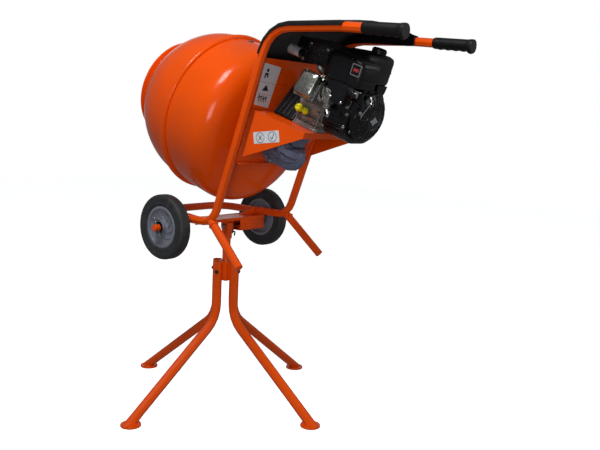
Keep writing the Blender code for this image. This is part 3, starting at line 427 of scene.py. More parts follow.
def add_tube(shape, path, radius, matrix=Matrix.Identity(4), sides=10, closed=False):
    """A round bar along a path of points."""
    points = [matrix @ Vector(point) for point in path]
    count = len(points)
    rings = []
    side = None
    for index, point in enumerate(points):
        before = points[index - 1] if index or closed else point
        after = points[(index + 1) % count] if index < count - 1 or closed else point
        along = (after - before).normalized()
        if side is None:
            side = along.orthogonal().normalized()
        side = (side - along * side.dot(along)).normalized()
        other = along.cross(side)
        rings.append(place_ring(shape, across_ring(point, side, other, circle(radius, sides))))
    loft(shape, rings, closed)


def add_bolt(shape, matrix, across=0.01, height=0.0045, shank=0.0):
    """A hexagon head on a washer, standing on the matrix's origin along its Z."""
    washer = across * 0.72
    core = across * 0.3
    add_lathe(shape, [(0.0, 0.0012), (washer, 0.0012), (washer, 0.0), (0.0, 0.0)], matrix, 18)
    radius = across / math.sqrt(3)
    add_prism(shape, circle(radius, 6), 0.0011, height, matrix)
    add_prism(shape, circle(radius * 0.84, 6), height - 0.0001, height + 0.0009, matrix)
    if shank:
        end = height + shank
        add_lathe(shape, [(0.0, end), (core, end), (core, height), (0.0, height)], matrix, 12)


def add_bead(shape, path, radius, matrix=Matrix.Identity(4)):
    """A weld bead: a thin bar whose ripples swell and shrink along a path."""
    points = [matrix @ Vector(point) for point in path]
    dense = []
    for first, second in zip(points, points[1:]):
        count = max(1, round((second - first).length / (radius * 0.7)))
        dense += [first.lerp(second, step / count) for step in range(count)]
    dense.append(points[-1])
    rings = []
    for index, point in enumerate(dense):
        along = (dense[min(index + 1, len(dense) - 1)] - dense[max(index - 1, 0)]).normalized()
        side = along.orthogonal().normalized()
        other = along.cross(side)
        swell = radius * (1.0 + 0.16 * (-1) ** index)
        rings.append(place_ring(shape, across_ring(point, side, other, circle(swell, 6))))
    loft(shape, rings)


def piece(name, shape, finish, body="chassis", angle=35.0):
    """Turns a shape into a named piece that rides on a body, which is the machine's frame for most."""
    bmesh.ops.recalc_face_normals(shape, faces=shape.faces)
    data = bpy.data.meshes.new(name)
    shape.to_mesh(data)
    shape.free()
    shade_by_angle(data, angle)
    obj = bpy.data.objects.new(name, data)
    SCENE.collection.objects.link(obj)
    if isinstance(finish, str):
        data.materials.append(FINISHES[finish])
    else:
        data.materials.append(finish)
    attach(obj, body)
    return obj


SIDE = axes(BACK, RISE, X_AXIS, DRUM_CENTRE)
REAR = axes(X_AXIS, RISE, BACK, DRUM_CENTRE)


def facing_back(x, w, h):
    """A place in the drum frame whose Z points back along the drum's axis."""
    return aimed((x, w, h), (0.0, 1.0, 0.0), DRUM)


def level_back(x, w, h):
    """The same, with its X kept along the world's X."""
    return DRUM @ Matrix.Translation((x, w, h)) @ Matrix.Rotation(math.radians(-90), 4, "X")


def facing_side(x, w, h, sign=1.0):
    """A place in the drum frame whose Z points out to the left, or to the right where the sign is -1."""
    return aimed((x, w, h), (sign, 0.0, 0.0), DRUM)


def facing_up(x, w, h):
    """A place in the drum frame whose Z points up, square to the drum's axis."""
    return DRUM @ Matrix.Translation((x, w, h))


# The drum

DRUM_RADIUS = 0.306
DRUM_WALL = 0.003
RING_RADIUS = 0.319
RING_WIDTH = 0.025
MOUTH_RADIUS = 0.2048
MOUTH_DEPTH = 0.2694
BOWL_DEPTH = 0.27
DRUM_STEPS = 128
BLADE_BOLT_ANGLES = (86.0, 266.0)
BLADE_BOLT_REACH = 0.068
ALONG_DRUM = aimed((0.0, 0.0, 0.0), (0.0, 1.0, 0.0), DRUM)


def build_drum():
    """The drum's cone, bowl and ring as turned shells, with its bolts and its rear flange."""
    neck = MOUTH_RADIUS - 0.022
    length = MOUTH_DEPTH - 0.012
    outer = []
    for step in range(17):
        along = step / 16
        outer.append((DRUM_RADIUS - (DRUM_RADIUS - neck) * along ** 2.3, -length * along))
    lip = [(MOUTH_RADIUS - 0.008, -MOUTH_DEPTH + 0.0055), (MOUTH_RADIUS - 0.001, -MOUTH_DEPTH + 0.0035),
           (MOUTH_RADIUS, -MOUTH_DEPTH + 0.0015), (MOUTH_RADIUS - 0.0015, -MOUTH_DEPTH),
           (MOUTH_RADIUS - 0.01, -MOUTH_DEPTH + 0.0015)]
    inside = [(radius - DRUM_WALL, height) for radius, height in outer[::-1]]
    cone = bmesh.new()
    add_lathe(cone, outer + lip + inside, ALONG_DRUM, DRUM_STEPS)
    cone = piece("cone_shell", cone, DRUM_PAINT, "drum", 50.0)
    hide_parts("drum_cone")
    rim = DRUM_RADIUS + 0.0015
    wall = [(rim, 0.0055), (rim, 0.12)]
    knuckle = [(DRUM_RADIUS - 0.0885 + 0.09 * math.cos(turn), 0.15 + 0.09 * math.sin(turn))
               for turn in (math.radians(76.0 * step / 12) for step in range(13))]
    outer = wall + knuckle + [(0.19, 0.25), (0.115, 0.262), (0.07, 0.2675), (0.04, BOWL_DEPTH)]
    inside = [(max(radius - DRUM_WALL, 0.0365), height - DRUM_WALL * min(1.0, height / 0.2))
              for radius, height in outer]
    bowl = bmesh.new()
    add_lathe(bowl, outer[::-1] + inside, ALONG_DRUM, DRUM_STEPS)
    bowl = piece("bowl_shell", bowl, DRUM_PAINT, "drum", 50.0)
    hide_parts("drum_bowl")
    ring = bmesh.new()
    bead = RING_WIDTH / 2
    profile = [(rim + 0.0003, RING_WIDTH), (RING_RADIUS - 0.0075, RING_WIDTH)]
    profile += [(RING_RADIUS - 0.0075 + 0.0075 * math.cos(turn), bead + (bead - 0.0005) * math.sin(turn))
                for turn in (math.radians(75.0 - 15.0 * step) for step in range(11))]
    profile += [(RING_RADIUS - 0.0075, 0.0), (DRUM_RADIUS - DRUM_WALL, 0.0003)]
    profile += [(DRUM_RADIUS - DRUM_WALL, 0.004), (rim + 0.0003, 0.004)]
    add_lathe(ring, profile, ALONG_DRUM, DRUM_STEPS)
    ring = piece("ring_shell", ring, DRUM_PAINT, "drum", 40.0)
    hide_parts("drum_ring")
    bolts = bmesh.new()
    for angle in BLADE_BOLT_ANGLES:
        for offset in (-1.4, 1.4):
            turn = math.radians(angle + offset)
            out = Vector((math.cos(turn), 0.0, math.sin(turn)))
            place = out * (rim - 0.0004) + Y_AXIS * BLADE_BOLT_REACH
            add_bolt(bolts, aimed(place, out, DRUM), 0.01, 0.004)
    piece("blade_bolts", bolts, "zinc_plate", "drum")
    flange = bmesh.new()
    seam = [DRUM @ Vector((spot.x, 0.2715, spot.y)) for spot in circle(0.0385, 40)]
    add_bead(flange, seam + seam[:1], 0.0022)
    for spot in circle(0.028, 6):
        add_bolt(flange, facing_back(spot.x, 0.2795, spot.y), 0.008, 0.003)
    piece("spindle_flange_bolts", flange, "bare_steel", "drum")
    build_blade_feet()


def build_blade_feet():
    """A weld along the foot of each mixing blade."""
    welds = bmesh.new()
    for sign in (1.0, -1.0):
        for side in (0.0035, -0.0035):
            add_bead(welds, [(sign * 0.301, 0.038, side), (sign * 0.301, 0.082, side)], 0.0022, DRUM)
    piece("blade_foot_welds", welds, "orange_paint", "drum")


# The frame behind the drum

PLATE_FACE = 0.3165
PLATE_PRINT = 0.0006


def build_back_plate():
    """Creases and welds of the plate behind the drum, and its label."""
    creases = bmesh.new()
    for height, half in ((0.216, 0.182), (0.104, 0.176)):
        add_tube(creases, [(-half, PLATE_FACE, height), (0.098, PLATE_FACE, height)], 0.0024, DRUM, 8)
    piece("back_plate_creases", creases, "orange_paint")
    welds = bmesh.new()
    for sign in (-1.0, 1.0):
        for height in (-0.03, 0.05, 0.2, 0.265):
            line = [(sign * 0.1975, PLATE_FACE + 0.001, height - 0.016),
                    (sign * 0.1975, PLATE_FACE + 0.001, height + 0.016)]
            add_bead(welds, line, 0.0024, DRUM)
    piece("back_plate_welds", welds, "orange_paint")
    build_plate_label()


def label_outline(corners, steps=4, radius=0.004):
    """A four-sided outline with rounded corners."""
    outline = []
    count = len(corners)
    for index, corner in enumerate(corners):
        here = Vector(corner)
        before = (Vector(corners[index - 1]) - here).normalized()
        after = (Vector(corners[(index + 1) % count]) - here).normalized()
        start = here + before * radius
        end = here + after * radius
        for step in range(steps + 1):
            share = step / steps
            bend = start.lerp(here, share).lerp(here.lerp(end, share), share)
            outline.append((bend.x, bend.y))
    return outline


def build_plate_label():
    """A pale safety label with three plain picture marks."""
    corners = [(0.194, 0.29), (0.102, 0.28), (0.113, 0.128), (0.19, 0.138)]
    label = bmesh.new()
    add_prism(label, label_outline(corners), PLATE_FACE - 0.0004, PLATE_FACE + PLATE_PRINT, REAR)
    piece("plate_label", label, LABEL_WHITE)
    marks = bmesh.new()
    low = PLATE_FACE + PLATE_PRINT - 0.0003
    high = low + 0.0006
    person = [(0.176, 0.256), (0.158, 0.254), (0.157, 0.238), (0.163, 0.238), (0.165, 0.247),
              (0.17, 0.247), (0.171, 0.236), (0.177, 0.236)]
    add_prism(marks, person, low, high, REAR)
    add_prism(marks, [(0.166 + spot.x, 0.265 + spot.y) for spot in circle(0.0065, 14)], low, high, REAR)
    triangle = [(0.154, 0.213), (0.136, 0.19), (0.17, 0.191)]
    add_prism(marks, triangle, low, high, REAR)
    for start, end in (((0.178, 0.178), (0.17, 0.15)), ((0.166, 0.172), (0.158, 0.149)),
                       ((0.152, 0.174), (0.146, 0.148)), ((0.14, 0.171), (0.134, 0.15)),
                       ((0.182, 0.165), (0.158, 0.17)), ((0.158, 0.16), (0.132, 0.166))):
        along = (Vector(end) - Vector(start)).normalized()
        out = Vector((-along.y, along.x)) * 0.0019
        bar = [Vector(start) + out, Vector(start) - out, Vector(end) - out, Vector(end) + out]
        add_prism(marks, bar, low, high, REAR)
    for height in (0.224, 0.182):
        lean = (height - 0.2) * 0.07
        line = [(0.188 + lean, height + 0.0004), (0.188 + lean, height - 0.0004),
                (0.11 - lean, height - 0.0082), (0.11 - lean, height - 0.0074)]
        add_prism(marks, line, low, high, REAR)
    piece("plate_label_marks", marks, LABEL_GREY)


def tray_side(w):
    """Half of the tray's width at a depth."""
    return 0.198 - 0.028 * (w - 0.3168) / (0.553 - 0.3168)


def build_tray():
    """The label on the tray's side, the engine's bolts under the tray and the tray's folded edges."""
    lean = axes((BACK + X_AXIS * -0.1185).normalized(), RISE, X_AXIS, DRUM_CENTRE + X_AXIS * tray_side(0.0))
    label = bmesh.new()
    corners = [(0.355, 0.0475), (0.4547, 0.0928), (0.4719, 0.0557), (0.3722, 0.0104)]
    add_prism(label, label_outline(corners), -0.0004, 0.0006, lean)
    piece("tray_label", label, LABEL_WHITE)
    marks = bmesh.new()
    for across in (-0.0262, 0.0262):
        middle = (0.4135 + across * 0.9105, 0.0516 + across * 0.4137)
        ring = [(middle[0] + spot.x, middle[1] + spot.y, spot.z) for spot in circle(0.0172, 36, 0.0006)]
        add_tube(marks, ring, 0.0009, lean, 6, True)
        strokes = (((-0.007, -0.008), (0.007, 0.008)), ((0.007, -0.008), (-0.007, 0.008)))
        if across > 0:
            strokes = (((-0.008, 0.0), (-0.003, -0.009)), ((-0.003, -0.009), (0.008, 0.01)))
        for stroke in strokes:
            path = [(middle[0] + x * 0.9105 - y * 0.4137, middle[1] + x * 0.4137 + y * 0.9105, 0.0006)
                    for x, y in stroke]
            add_tube(marks, path, 0.0012, lean, 6)
    piece("tray_label_marks", marks, LABEL_GREY)
    bolts = bmesh.new()
    for x, w in ((0.08, 0.46), (-0.08, 0.46), (0.08, 0.535), (-0.08, 0.535)):
        add_bolt(bolts, aimed((x, w, 0.119), (0.0, 0.0, -1.0), DRUM), 0.012, 0.006, 0.006)
    piece("tray_bolts", bolts, "zinc_plate")
    fold = bmesh.new()
    for sign in (-1.0, 1.0):
        path = [(sign * (tray_side(w) - 0.0012), w, 0.1206) for w in (0.318, 0.552)]
        add_tube(fold, path, 0.0016, DRUM, 8)
    add_tube(fold, [(-0.169, 0.5518, 0.1206), (0.169, 0.5518, 0.1206)], 0.0016, DRUM, 8)
    piece("tray_folds", fold, "orange_paint")


# The gearbox

def build_gearbox():
    """A faceted cover with fins over the gears, its flange bolts and its plugs."""
    dome = bmesh.new()
    rows = []
    sides = 11
    for w, radius, fall in ((0.317, 0.077, 0.0), (0.36, 0.0765, 0.0), (0.385, 0.0745, -0.002),
                            (0.404, 0.065, -0.012), (0.424, 0.048, -0.022), (0.44, 0.03, -0.026),
                            (0.4485, 0.014, -0.022)):
        shift = 0.5 * (len(rows) % 2)
        spots = [polar(radius, 360 * (k + shift) / sides) for k in range(sides)]
        top = 0.01 if w > 0.39 else radius
        rows.append(place_ring(dome, [(spot.x, w, min(fall + spot.y, top)) for spot in spots], DRUM))
    for row, (first, second) in enumerate(zip(rows, rows[1:])):
        for k in range(sides):
            after = (k + 1) % sides
            if row % 2:
                dome.faces.new((first[k], first[after], second[after]))
                dome.faces.new((first[k], second[after], second[k]))
            else:
                dome.faces.new((first[k], first[after], second[k]))
                dome.faces.new((first[after], second[after], second[k]))
    dome.faces.new(rows[0][::-1])
    dome.faces.new(rows[-1])
    front = 0.3172
    lay = facing_back(-0.0542, 0.0, 0.0622)
    bulge = [(0.0, 0.385), (0.044, 0.385), (0.0545, 0.376), (0.0545, front), (0.0, front)]
    add_lathe(dome, bulge, lay, 20)
    pinion = facing_back(0.0, 0.0, 0.088)
    add_lathe(dome, [(0.0092, 0.388), (0.02, 0.388), (0.0205, front), (0.0092, front)], pinion, 20)
    corner = facing_back(0.045, 0.0, 0.06)
    add_lathe(dome, [(0.0, 0.385), (0.012, 0.385), (0.0135, front), (0.0, front)], corner, 14)
    fin = ((0.018, 0.448, -0.022), (0.033, 0.444, -0.026), (0.052, 0.428, -0.022),
           (0.069, 0.408, -0.012), (0.079, 0.386, -0.002), (0.081, 0.33, 0.0), (0.06, 0.33, 0.0),
           (0.018, 0.4, -0.012))
    for angle in (-172, -148, -124, -100, -76, -52, -28, -6):
        turn = math.radians(angle)
        out = Vector((math.cos(turn), 0.0, math.sin(turn)))
        side = Vector((-out.z, 0.0, out.x)) * 0.0021
        corners = [out * reach + Vector((0.0, w, fall)) for reach, w, fall in fin]
        loft(dome, [place_ring(dome, [spot + offset for spot in corners], DRUM) for offset in (side, -side)])
    dome = piece("gearbox_cover", dome, "gearbox_casting", angle=12.0)
    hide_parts("gearbox_housing")
    bolts = bmesh.new()
    bosses = bmesh.new()
    for angle in (-160, -136, -112, -88, -64, -40, -16, 8):
        turn = math.radians(angle)
        x = 0.08 * math.cos(turn)
        h = 0.08 * math.sin(turn)
        boss = facing_back(x, 0.0, h)
        add_lathe(bosses, [(0.0, 0.334), (0.0075, 0.334), (0.009, front), (0.0, front)], boss, 14)
        add_bolt(bolts, facing_back(x, 0.334, h), 0.0085, 0.0045)
    plug = [(0.0, 0.3905), (0.014, 0.3905), (0.017, 0.387), (0.018, 0.384), (0.0, 0.384)]
    add_lathe(bosses, plug, lay, 24)
    piece("gearbox_bosses", bosses, "gearbox_casting")
    add_bolt(bolts, facing_side(0.0755, 0.352, -0.012), 0.012, 0.006)
    add_bolt(bolts, aimed((0.0, 0.352, -0.0755), (0.0, 0.0, -1.0), DRUM), 0.014, 0.006)
    piece("gearbox_bolts", bolts, "zinc_plate")


# The engine

CRANK_HEIGHT = 0.22
GUARD_REAR = 0.435


def build_belt_guard():
    """Ribs, edge beads and bolts of the cover over the belt."""
    ribs = bmesh.new()
    top = CRANK_HEIGHT
    for share in (-0.72, -0.36, 0.0, 0.36, 0.72):
        low = Vector((0.1 * share, 0.134))
        high = Vector((0.036 * share, top - 0.02))
        along = (high - low).normalized()
        out = Vector((-along.y, along.x)) * 0.002
        bar = [low + out, low - out, high - out, high + out]
        add_prism(ribs, bar, GUARD_REAR - 0.0004, GUARD_REAR + 0.0022, REAR)
    arc = [polar(0.0445, angle) for angle in range(20, 161, 14)]
    path = [(0.1105, 0.1295)] + [(spot.x, top + spot.y) for spot in arc] + [(-0.1105, 0.1295)]
    for w in (GUARD_REAR, 0.352):
        add_tube(ribs, [(x, w, h) for x, h in path], 0.0032, DRUM, 8)
    for w in (0.372, 0.392, 0.412):
        for sign in (-1.0, 1.0):
            foot = Vector((sign * 0.1115, w, 0.134))
            head = Vector((sign * 0.0445, w, top + 0.012))
            add_tube(ribs, [foot, head], 0.0024, DRUM, 8)
    piece("belt_guard_ribs", ribs, "black_plastic")
    bolts = bmesh.new()
    for x, h in ((0.09, 0.142), (-0.09, 0.142), (0.0, 0.2585)):
        add_bolt(bolts, facing_back(x, GUARD_REAR + 0.0002, h), 0.009, 0.004)
    piece("belt_guard_bolts", bolts, "zinc_plate")


def build_crankcase():
    """Ribs, bosses and bolts of the block, its second oil plug and the oil cap's grips."""
    ribs = bmesh.new()
    rear = 0.55
    for w in (0.446, 0.542):
        outline = [(0.0995, 0.137), (0.106, 0.137), (0.1045, 0.168), (0.1, 0.196), (0.0945, 0.196)]
        add_prism(ribs, outline, w - 0.0014, w + 0.0014, REAR)
    add_box(ribs, (0.086, 0.44, 0.1216), (0.1115, 0.548, 0.13), DRUM, 0.0015)
    add_box(ribs, (-0.1005, 0.44, 0.1216), (-0.07, 0.548, 0.13), DRUM, 0.0015)
    add_box(ribs, (0.093, 0.4385, 0.158), (0.105, 0.5495, 0.162), DRUM, 0.0012)
    add_box(ribs, (0.068, 0.47, 0.205), (0.0985, 0.52, 0.2095), DRUM, 0.0012)
    boss = [(0.0, 0.004), (0.007, 0.004), (0.0078, -0.002), (0.0, -0.002)]
    for x, h in ((0.076, 0.15), (0.086, 0.188), (0.06, 0.276), (-0.012, 0.286), (-0.06, 0.255),
                 (-0.064, 0.16)):
        add_lathe(ribs, boss, level_back(x, rear, h), 16)
    piece("crankcase_ribs", ribs, "engine_casting")
    bolts = bmesh.new()
    for w in (0.452, 0.536):
        for x in (0.0985, -0.088):
            add_bolt(bolts, facing_up(x, w, 0.13), 0.011, 0.0055, 0.004)
    for h in (0.15, 0.186):
        add_bolt(bolts, facing_side(0.103, 0.482, h), 0.009, 0.004)
        add_bolt(bolts, facing_side(0.103, 0.53, h), 0.009, 0.004)
    piece("crankcase_bolts", bolts, "zinc_plate")
    tube = bmesh.new()
    lean = aimed((0.1005, 0.4805, 0.17), (0.788, 0.0, 0.616), DRUM)
    add_lathe(tube, [(0.0, 0.02), (0.0085, 0.02), (0.011, 0.016), (0.011, 0.006), (0.007, 0.003),
                     (0.007, 0.0), (0.0, 0.0)], lean, 20)
    for low in circle(0.0104, 12, 0.0065):
        add_tube(tube, [low, (low.x, low.y, 0.016)], 0.0013, lean, 6)
    piece("second_oil_plug", tube, "yellow_plastic")
    grips = bmesh.new()
    joint = JOINTS["oil_cap_turn"]
    cap = aimed(Vector(joint["pos_m"]), Vector(joint["axis"]))
    for low in circle(0.013, 14, 0.008):
        add_tube(grips, [low, (low.x, low.y, 0.0182)], 0.0013, cap, 6)
    add_box(grips, (-0.0085, -0.0017, 0.0215), (0.0085, 0.0017, 0.0255), cap, 0.0006)
    piece("oil_cap_grips", grips, "yellow_plastic", "oil_cap")


CYLINDER = DRUM @ Matrix.Translation((0.0, 0.494, CRANK_HEIGHT)) @ Matrix.Rotation(math.radians(-20), 4, "Y")


def build_cylinder():
    """The rocker cover, the spark plug and its lead, the ports and the baffle."""
    cover = bmesh.new()
    add_box(cover, (0.1516, -0.0435, -0.0475), (0.156, 0.0435, 0.0475), CYLINDER, 0.0018)
    dome = bmesh.new()
    rows = []
    for x, inset in ((0.154, 0.0), (0.17, 0.001), (0.179, 0.004), (0.1838, 0.01), (0.1852, 0.018)):
        half_y = 0.04 - inset
        half_z = 0.044 - inset
        radius = 0.012
        spots = []
        for corner, (sy, sz) in enumerate(((1, 1), (-1, 1), (-1, -1), (1, -1))):
            for step in range(5):
                bend = polar(radius, 90 * corner + 22.5 * step)
                spots.append((x, sy * (half_y - radius) + bend.x, sz * (half_z - radius) + bend.y))
        rows.append(place_ring(dome, spots, CYLINDER))
    loft(dome, rows)
    dome = piece("rocker_cover_shell", dome, "zinc_plate", angle=32.0)
    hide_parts("rocker_cover")
    piece("rocker_cover_rim", cover, "zinc_plate")
    bolts = bmesh.new()
    for y, z in ((0.0378, 0.0428), (-0.0378, 0.0428), (0.0378, -0.0428), (-0.0378, -0.0428)):
        place = CYLINDER @ Matrix.Translation((0.156, y, z)) @ Matrix.Rotation(math.radians(90), 4, "Y")
        add_bolt(bolts, place, 0.0085, 0.005)
    piece("rocker_cover_bolts", bolts, "zinc_plate")
    plug = bmesh.new()
    spot = aimed((0.125, 0.537, 0.244), (0.55, 0.8, 0.06), DRUM)
    add_lathe(plug, [(0.0, 0.03), (0.003, 0.03), (0.003, 0.022), (0.0075, 0.02), (0.0075, 0.008),
                     (0.01, 0.006), (0.01, 0.0), (0.0, 0.0)], spot, 20)
    piece("spark_plug", plug, CHROME)
    lead = bmesh.new()
    path = [(0.1405, 0.5595, 0.246), (0.15, 0.557, 0.256), (0.1505, 0.553, 0.272),
            (0.144, 0.55, 0.293), (0.12, 0.55, 0.308), (0.085, 0.545, 0.314),
            (0.05, 0.548, 0.306)]
    add_tube(lead, smooth_path(path, 5), 0.0034, DRUM, 10)
    piece("ignition_lead", lead, "rubber")
    port = bmesh.new()
    intake = [(0.113, 0.533, 0.26), (0.118, 0.542, 0.26), (0.119, 0.548, 0.26)]
    add_tube(port, smooth_path(intake, 4), 0.015, DRUM, 16)
    exhaust = [(0.06, 0.47, 0.318), (0.07, 0.462, 0.326), (0.072, 0.455, 0.338)]
    add_tube(port, smooth_path(exhaust, 4), 0.013, DRUM, 16)
    piece("engine_ports", port, "engine_casting")
    baffle = bmesh.new()
    outline = [(0.105, 0.24), (0.105, 0.2985), (0.128, 0.3065), (0.149, 0.3), (0.149, 0.2935),
               (0.128, 0.299), (0.111, 0.2925), (0.111, 0.24)]
    add_prism(baffle, outline, 0.4515, 0.5365, REAR)
    piece("cylinder_baffle", baffle, "black_paint")


def build_muffler():
    """The guard round the silencer: rails and bars that stand off its faces, and the outlet's sleeve."""
    guard = bmesh.new()
    side = 0.0905
    for low, high in ((0.336, 0.342), (0.356, 0.361), (0.374, 0.379), (0.391, 0.405)):
        add_box(guard, (side, 0.398, low), (side + 0.0035, 0.501, high), DRUM)
    for row_low, row_high, count in ((0.341, 0.357, 7), (0.36, 0.375, 7), (0.378, 0.392, 13)):
        for index in range(count + 1):
            w = 0.399 + 0.0985 * index / count
            add_box(guard, (side, w, row_low), (side + 0.003, w + 0.0032, row_high), DRUM)
    for index in range(15):
        w = 0.352 + 0.01 * index
        add_box(guard, (-0.08, w, 0.4045), (0.086, w + 0.0042, 0.408), DRUM)
    for x in (-0.084, 0.0, 0.085):
        add_box(guard, (x - 0.003, 0.35, 0.4043), (x + 0.003, 0.499, 0.4085), DRUM)
    for low, high in ((0.338, 0.345), (0.366, 0.372), (0.392, 0.402)):
        add_box(guard, (-0.086, 0.5, low), (0.086, 0.5032, high), DRUM)
    piece("muffler_guard", guard, "black_paint")
    outlet = bmesh.new()
    sleeve = [(0.0172, 0.3265), (0.0172, 0.378), (0.0167, 0.378), (0.0167, 0.334), (0.013, 0.332),
              (0.013, 0.3265)]
    add_lathe(outlet, sleeve, level_back(0.092, 0.0, 0.354), 32)
    piece("muffler_outlet_sleeve", outlet, SATIN_STEEL)
    bolts = bmesh.new()
    for w in (0.41, 0.488):
        add_bolt(bolts, facing_side(0.0938, w, 0.398), 0.008, 0.004)
    add_bolt(bolts, facing_side(0.0938, 0.392, 0.339), 0.008, 0.004)
    piece("muffler_bolts", bolts, "zinc_plate")


def build_tank():
    """The fuel tank's seam, its well and the ribs of its cap."""
    seam = bmesh.new()
    path = []
    for x, w, start in ((-0.13, 0.524, 180), (0.002, 0.524, 270), (0.002, 0.59, 0), (-0.13, 0.59, 90)):
        path += [Vector((x, w, 0.372)) + polar(0.0207, start + 22.5 * step) for step in range(5)]
    add_tube(seam, path, 0.0022, DRUM, 8, True)
    piece("fuel_tank_seam", seam, "black_plastic")
    well = bmesh.new()
    outline = [(-0.149, 0.323), (-0.0915, 0.323), (-0.0915, 0.242), (-0.108, 0.242), (-0.129, 0.27),
               (-0.145, 0.3)]
    add_prism(well, outline, 0.512, 0.606, REAR)
    piece("fuel_tank_well", well, "black_plastic")
    ribs = bmesh.new()
    cap = JOINTS["fuel_cap_turn"]
    place = aimed(Vector(cap["pos_m"]), Vector(cap["axis"]))
    for low in circle(0.0256, 20, 0.0015):
        add_tube(ribs, [low, (low.x, low.y, 0.0138)], 0.0014, place, 6)
    add_lathe(ribs, [(0.0, 0.0192), (0.012, 0.0192), (0.0135, 0.0176), (0.0, 0.0176)], place, 24)
    piece("fuel_cap_ribs", ribs, "black_plastic", "fuel_cap")


def build_air_cleaner():
    """The cover with its crowned outer face and the neck below it."""
    crown = [(0.034, 0.512), (0.108, 0.512), (0.12, 0.517), (0.129, 0.528), (0.1355, 0.545), (0.138, 0.562),
             (0.138, 0.578), (0.1355, 0.596), (0.1325, 0.612), (0.132, 0.664), (0.127, 0.672),
             (0.118, 0.6755),
             (0.034, 0.6755)]
    cover = bmesh.new()
    rows = []
    middle = Vector((0.085, 0.594))
    for h, shrink, dome in ((0.319, 0.01, 0.0), (0.3205, 0.003, 0.0), (0.326, 0.0, 0.0),
                            (0.396, 0.0, 0.07), (0.406, 0.004, 0.07), (0.4125, 0.012, 0.07),
                            (0.415, 0.03, 0.07)):
        spots = []
        for corner in crown:
            spot = Vector(corner) + (middle - Vector(corner)).normalized() * shrink
            spots.append((spot.x, spot.y, h - dome * abs(spot.y - middle.y)))
        rows.append(place_ring(cover, spots, DRUM))
    loft(cover, rows)
    neck = [(0.556, 0.3185), (0.56, 0.296), (0.57, 0.288), (0.5745, 0.276), (0.58, 0.26),
            (0.592, 0.252), (0.628, 0.247), (0.639, 0.251), (0.644, 0.262), (0.646, 0.3185)]
    add_prism(cover, neck, 0.103, 0.135, SIDE)
    add_prism(cover, [(w * 0.955 + 0.0272, h * 0.93 + 0.0205) for w, h in neck], 0.1349, 0.1378, SIDE)
    cover = piece("air_cleaner_cover", cover, "black_plastic", angle=38.0)
    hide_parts("air_cleaner")
    seams = bmesh.new()
    add_box(seams, (0.118, 0.622, 0.32), (0.1345, 0.6245, 0.408), DRUM, 0.0008)
    add_box(seams, (0.06, 0.674, 0.34), (0.118, 0.6775, 0.345), DRUM, 0.0008)
    add_box(seams, (0.06, 0.674, 0.388), (0.118, 0.6775, 0.393), DRUM, 0.0008)
    add_box(seams, (0.129, 0.584, 0.316), (0.138, 0.646, 0.3205), DRUM, 0.0012)
    piece("air_cleaner_seams", seams, "black_plastic")
    bolts = bmesh.new()
    for w, h in ((0.586, 0.266), (0.634, 0.26)):
        add_lathe(bolts, [(0.0, 0.0045), (0.003, 0.0045), (0.0048, 0.003), (0.0052, 0.0), (0.0, 0.0)],
                  facing_side(0.137, w, h), 20)
    add_lathe(bolts, [(0.0, 0.006), (0.004, 0.006), (0.0056, 0.004), (0.0056, 0.0), (0.0, 0.0)],
              facing_side(0.118, 0.59, 0.404), 16)
    piece("air_cleaner_screws", bolts, CHROME)
    build_square_badge(0.1318, 0.65, 0.376)


def build_square_badge(x, w, h):
    """A plain square badge: a bright frame round a dark field with one plain bar."""
    border = bmesh.new()
    half = 0.0175
    rim = 0.0018
    top = x + 0.0022
    for edge in (-half, half):
        add_box(border, (x, w - half, h + edge - rim), (top, w + half, h + edge + rim), DRUM, 0.0007)
        add_box(border, (x, w + edge - rim, h - half), (top, w + edge + rim, h + half), DRUM, 0.0007)
    piece("badge_frame", border, CHROME)
    field = bmesh.new()
    add_box(field, (x - 0.0004, w - half, h - half), (x + 0.0008, w + half, h + half), DRUM)
    piece("badge_field", field, "black_paint")
    bar = bmesh.new()
    add_box(bar, (x + 0.0006, w - 0.0105, h - 0.0055), (x + 0.0018, w + 0.0115, h + 0.005), DRUM, 0.0005)
    piece("badge_bar", bar, BADGE_RED)


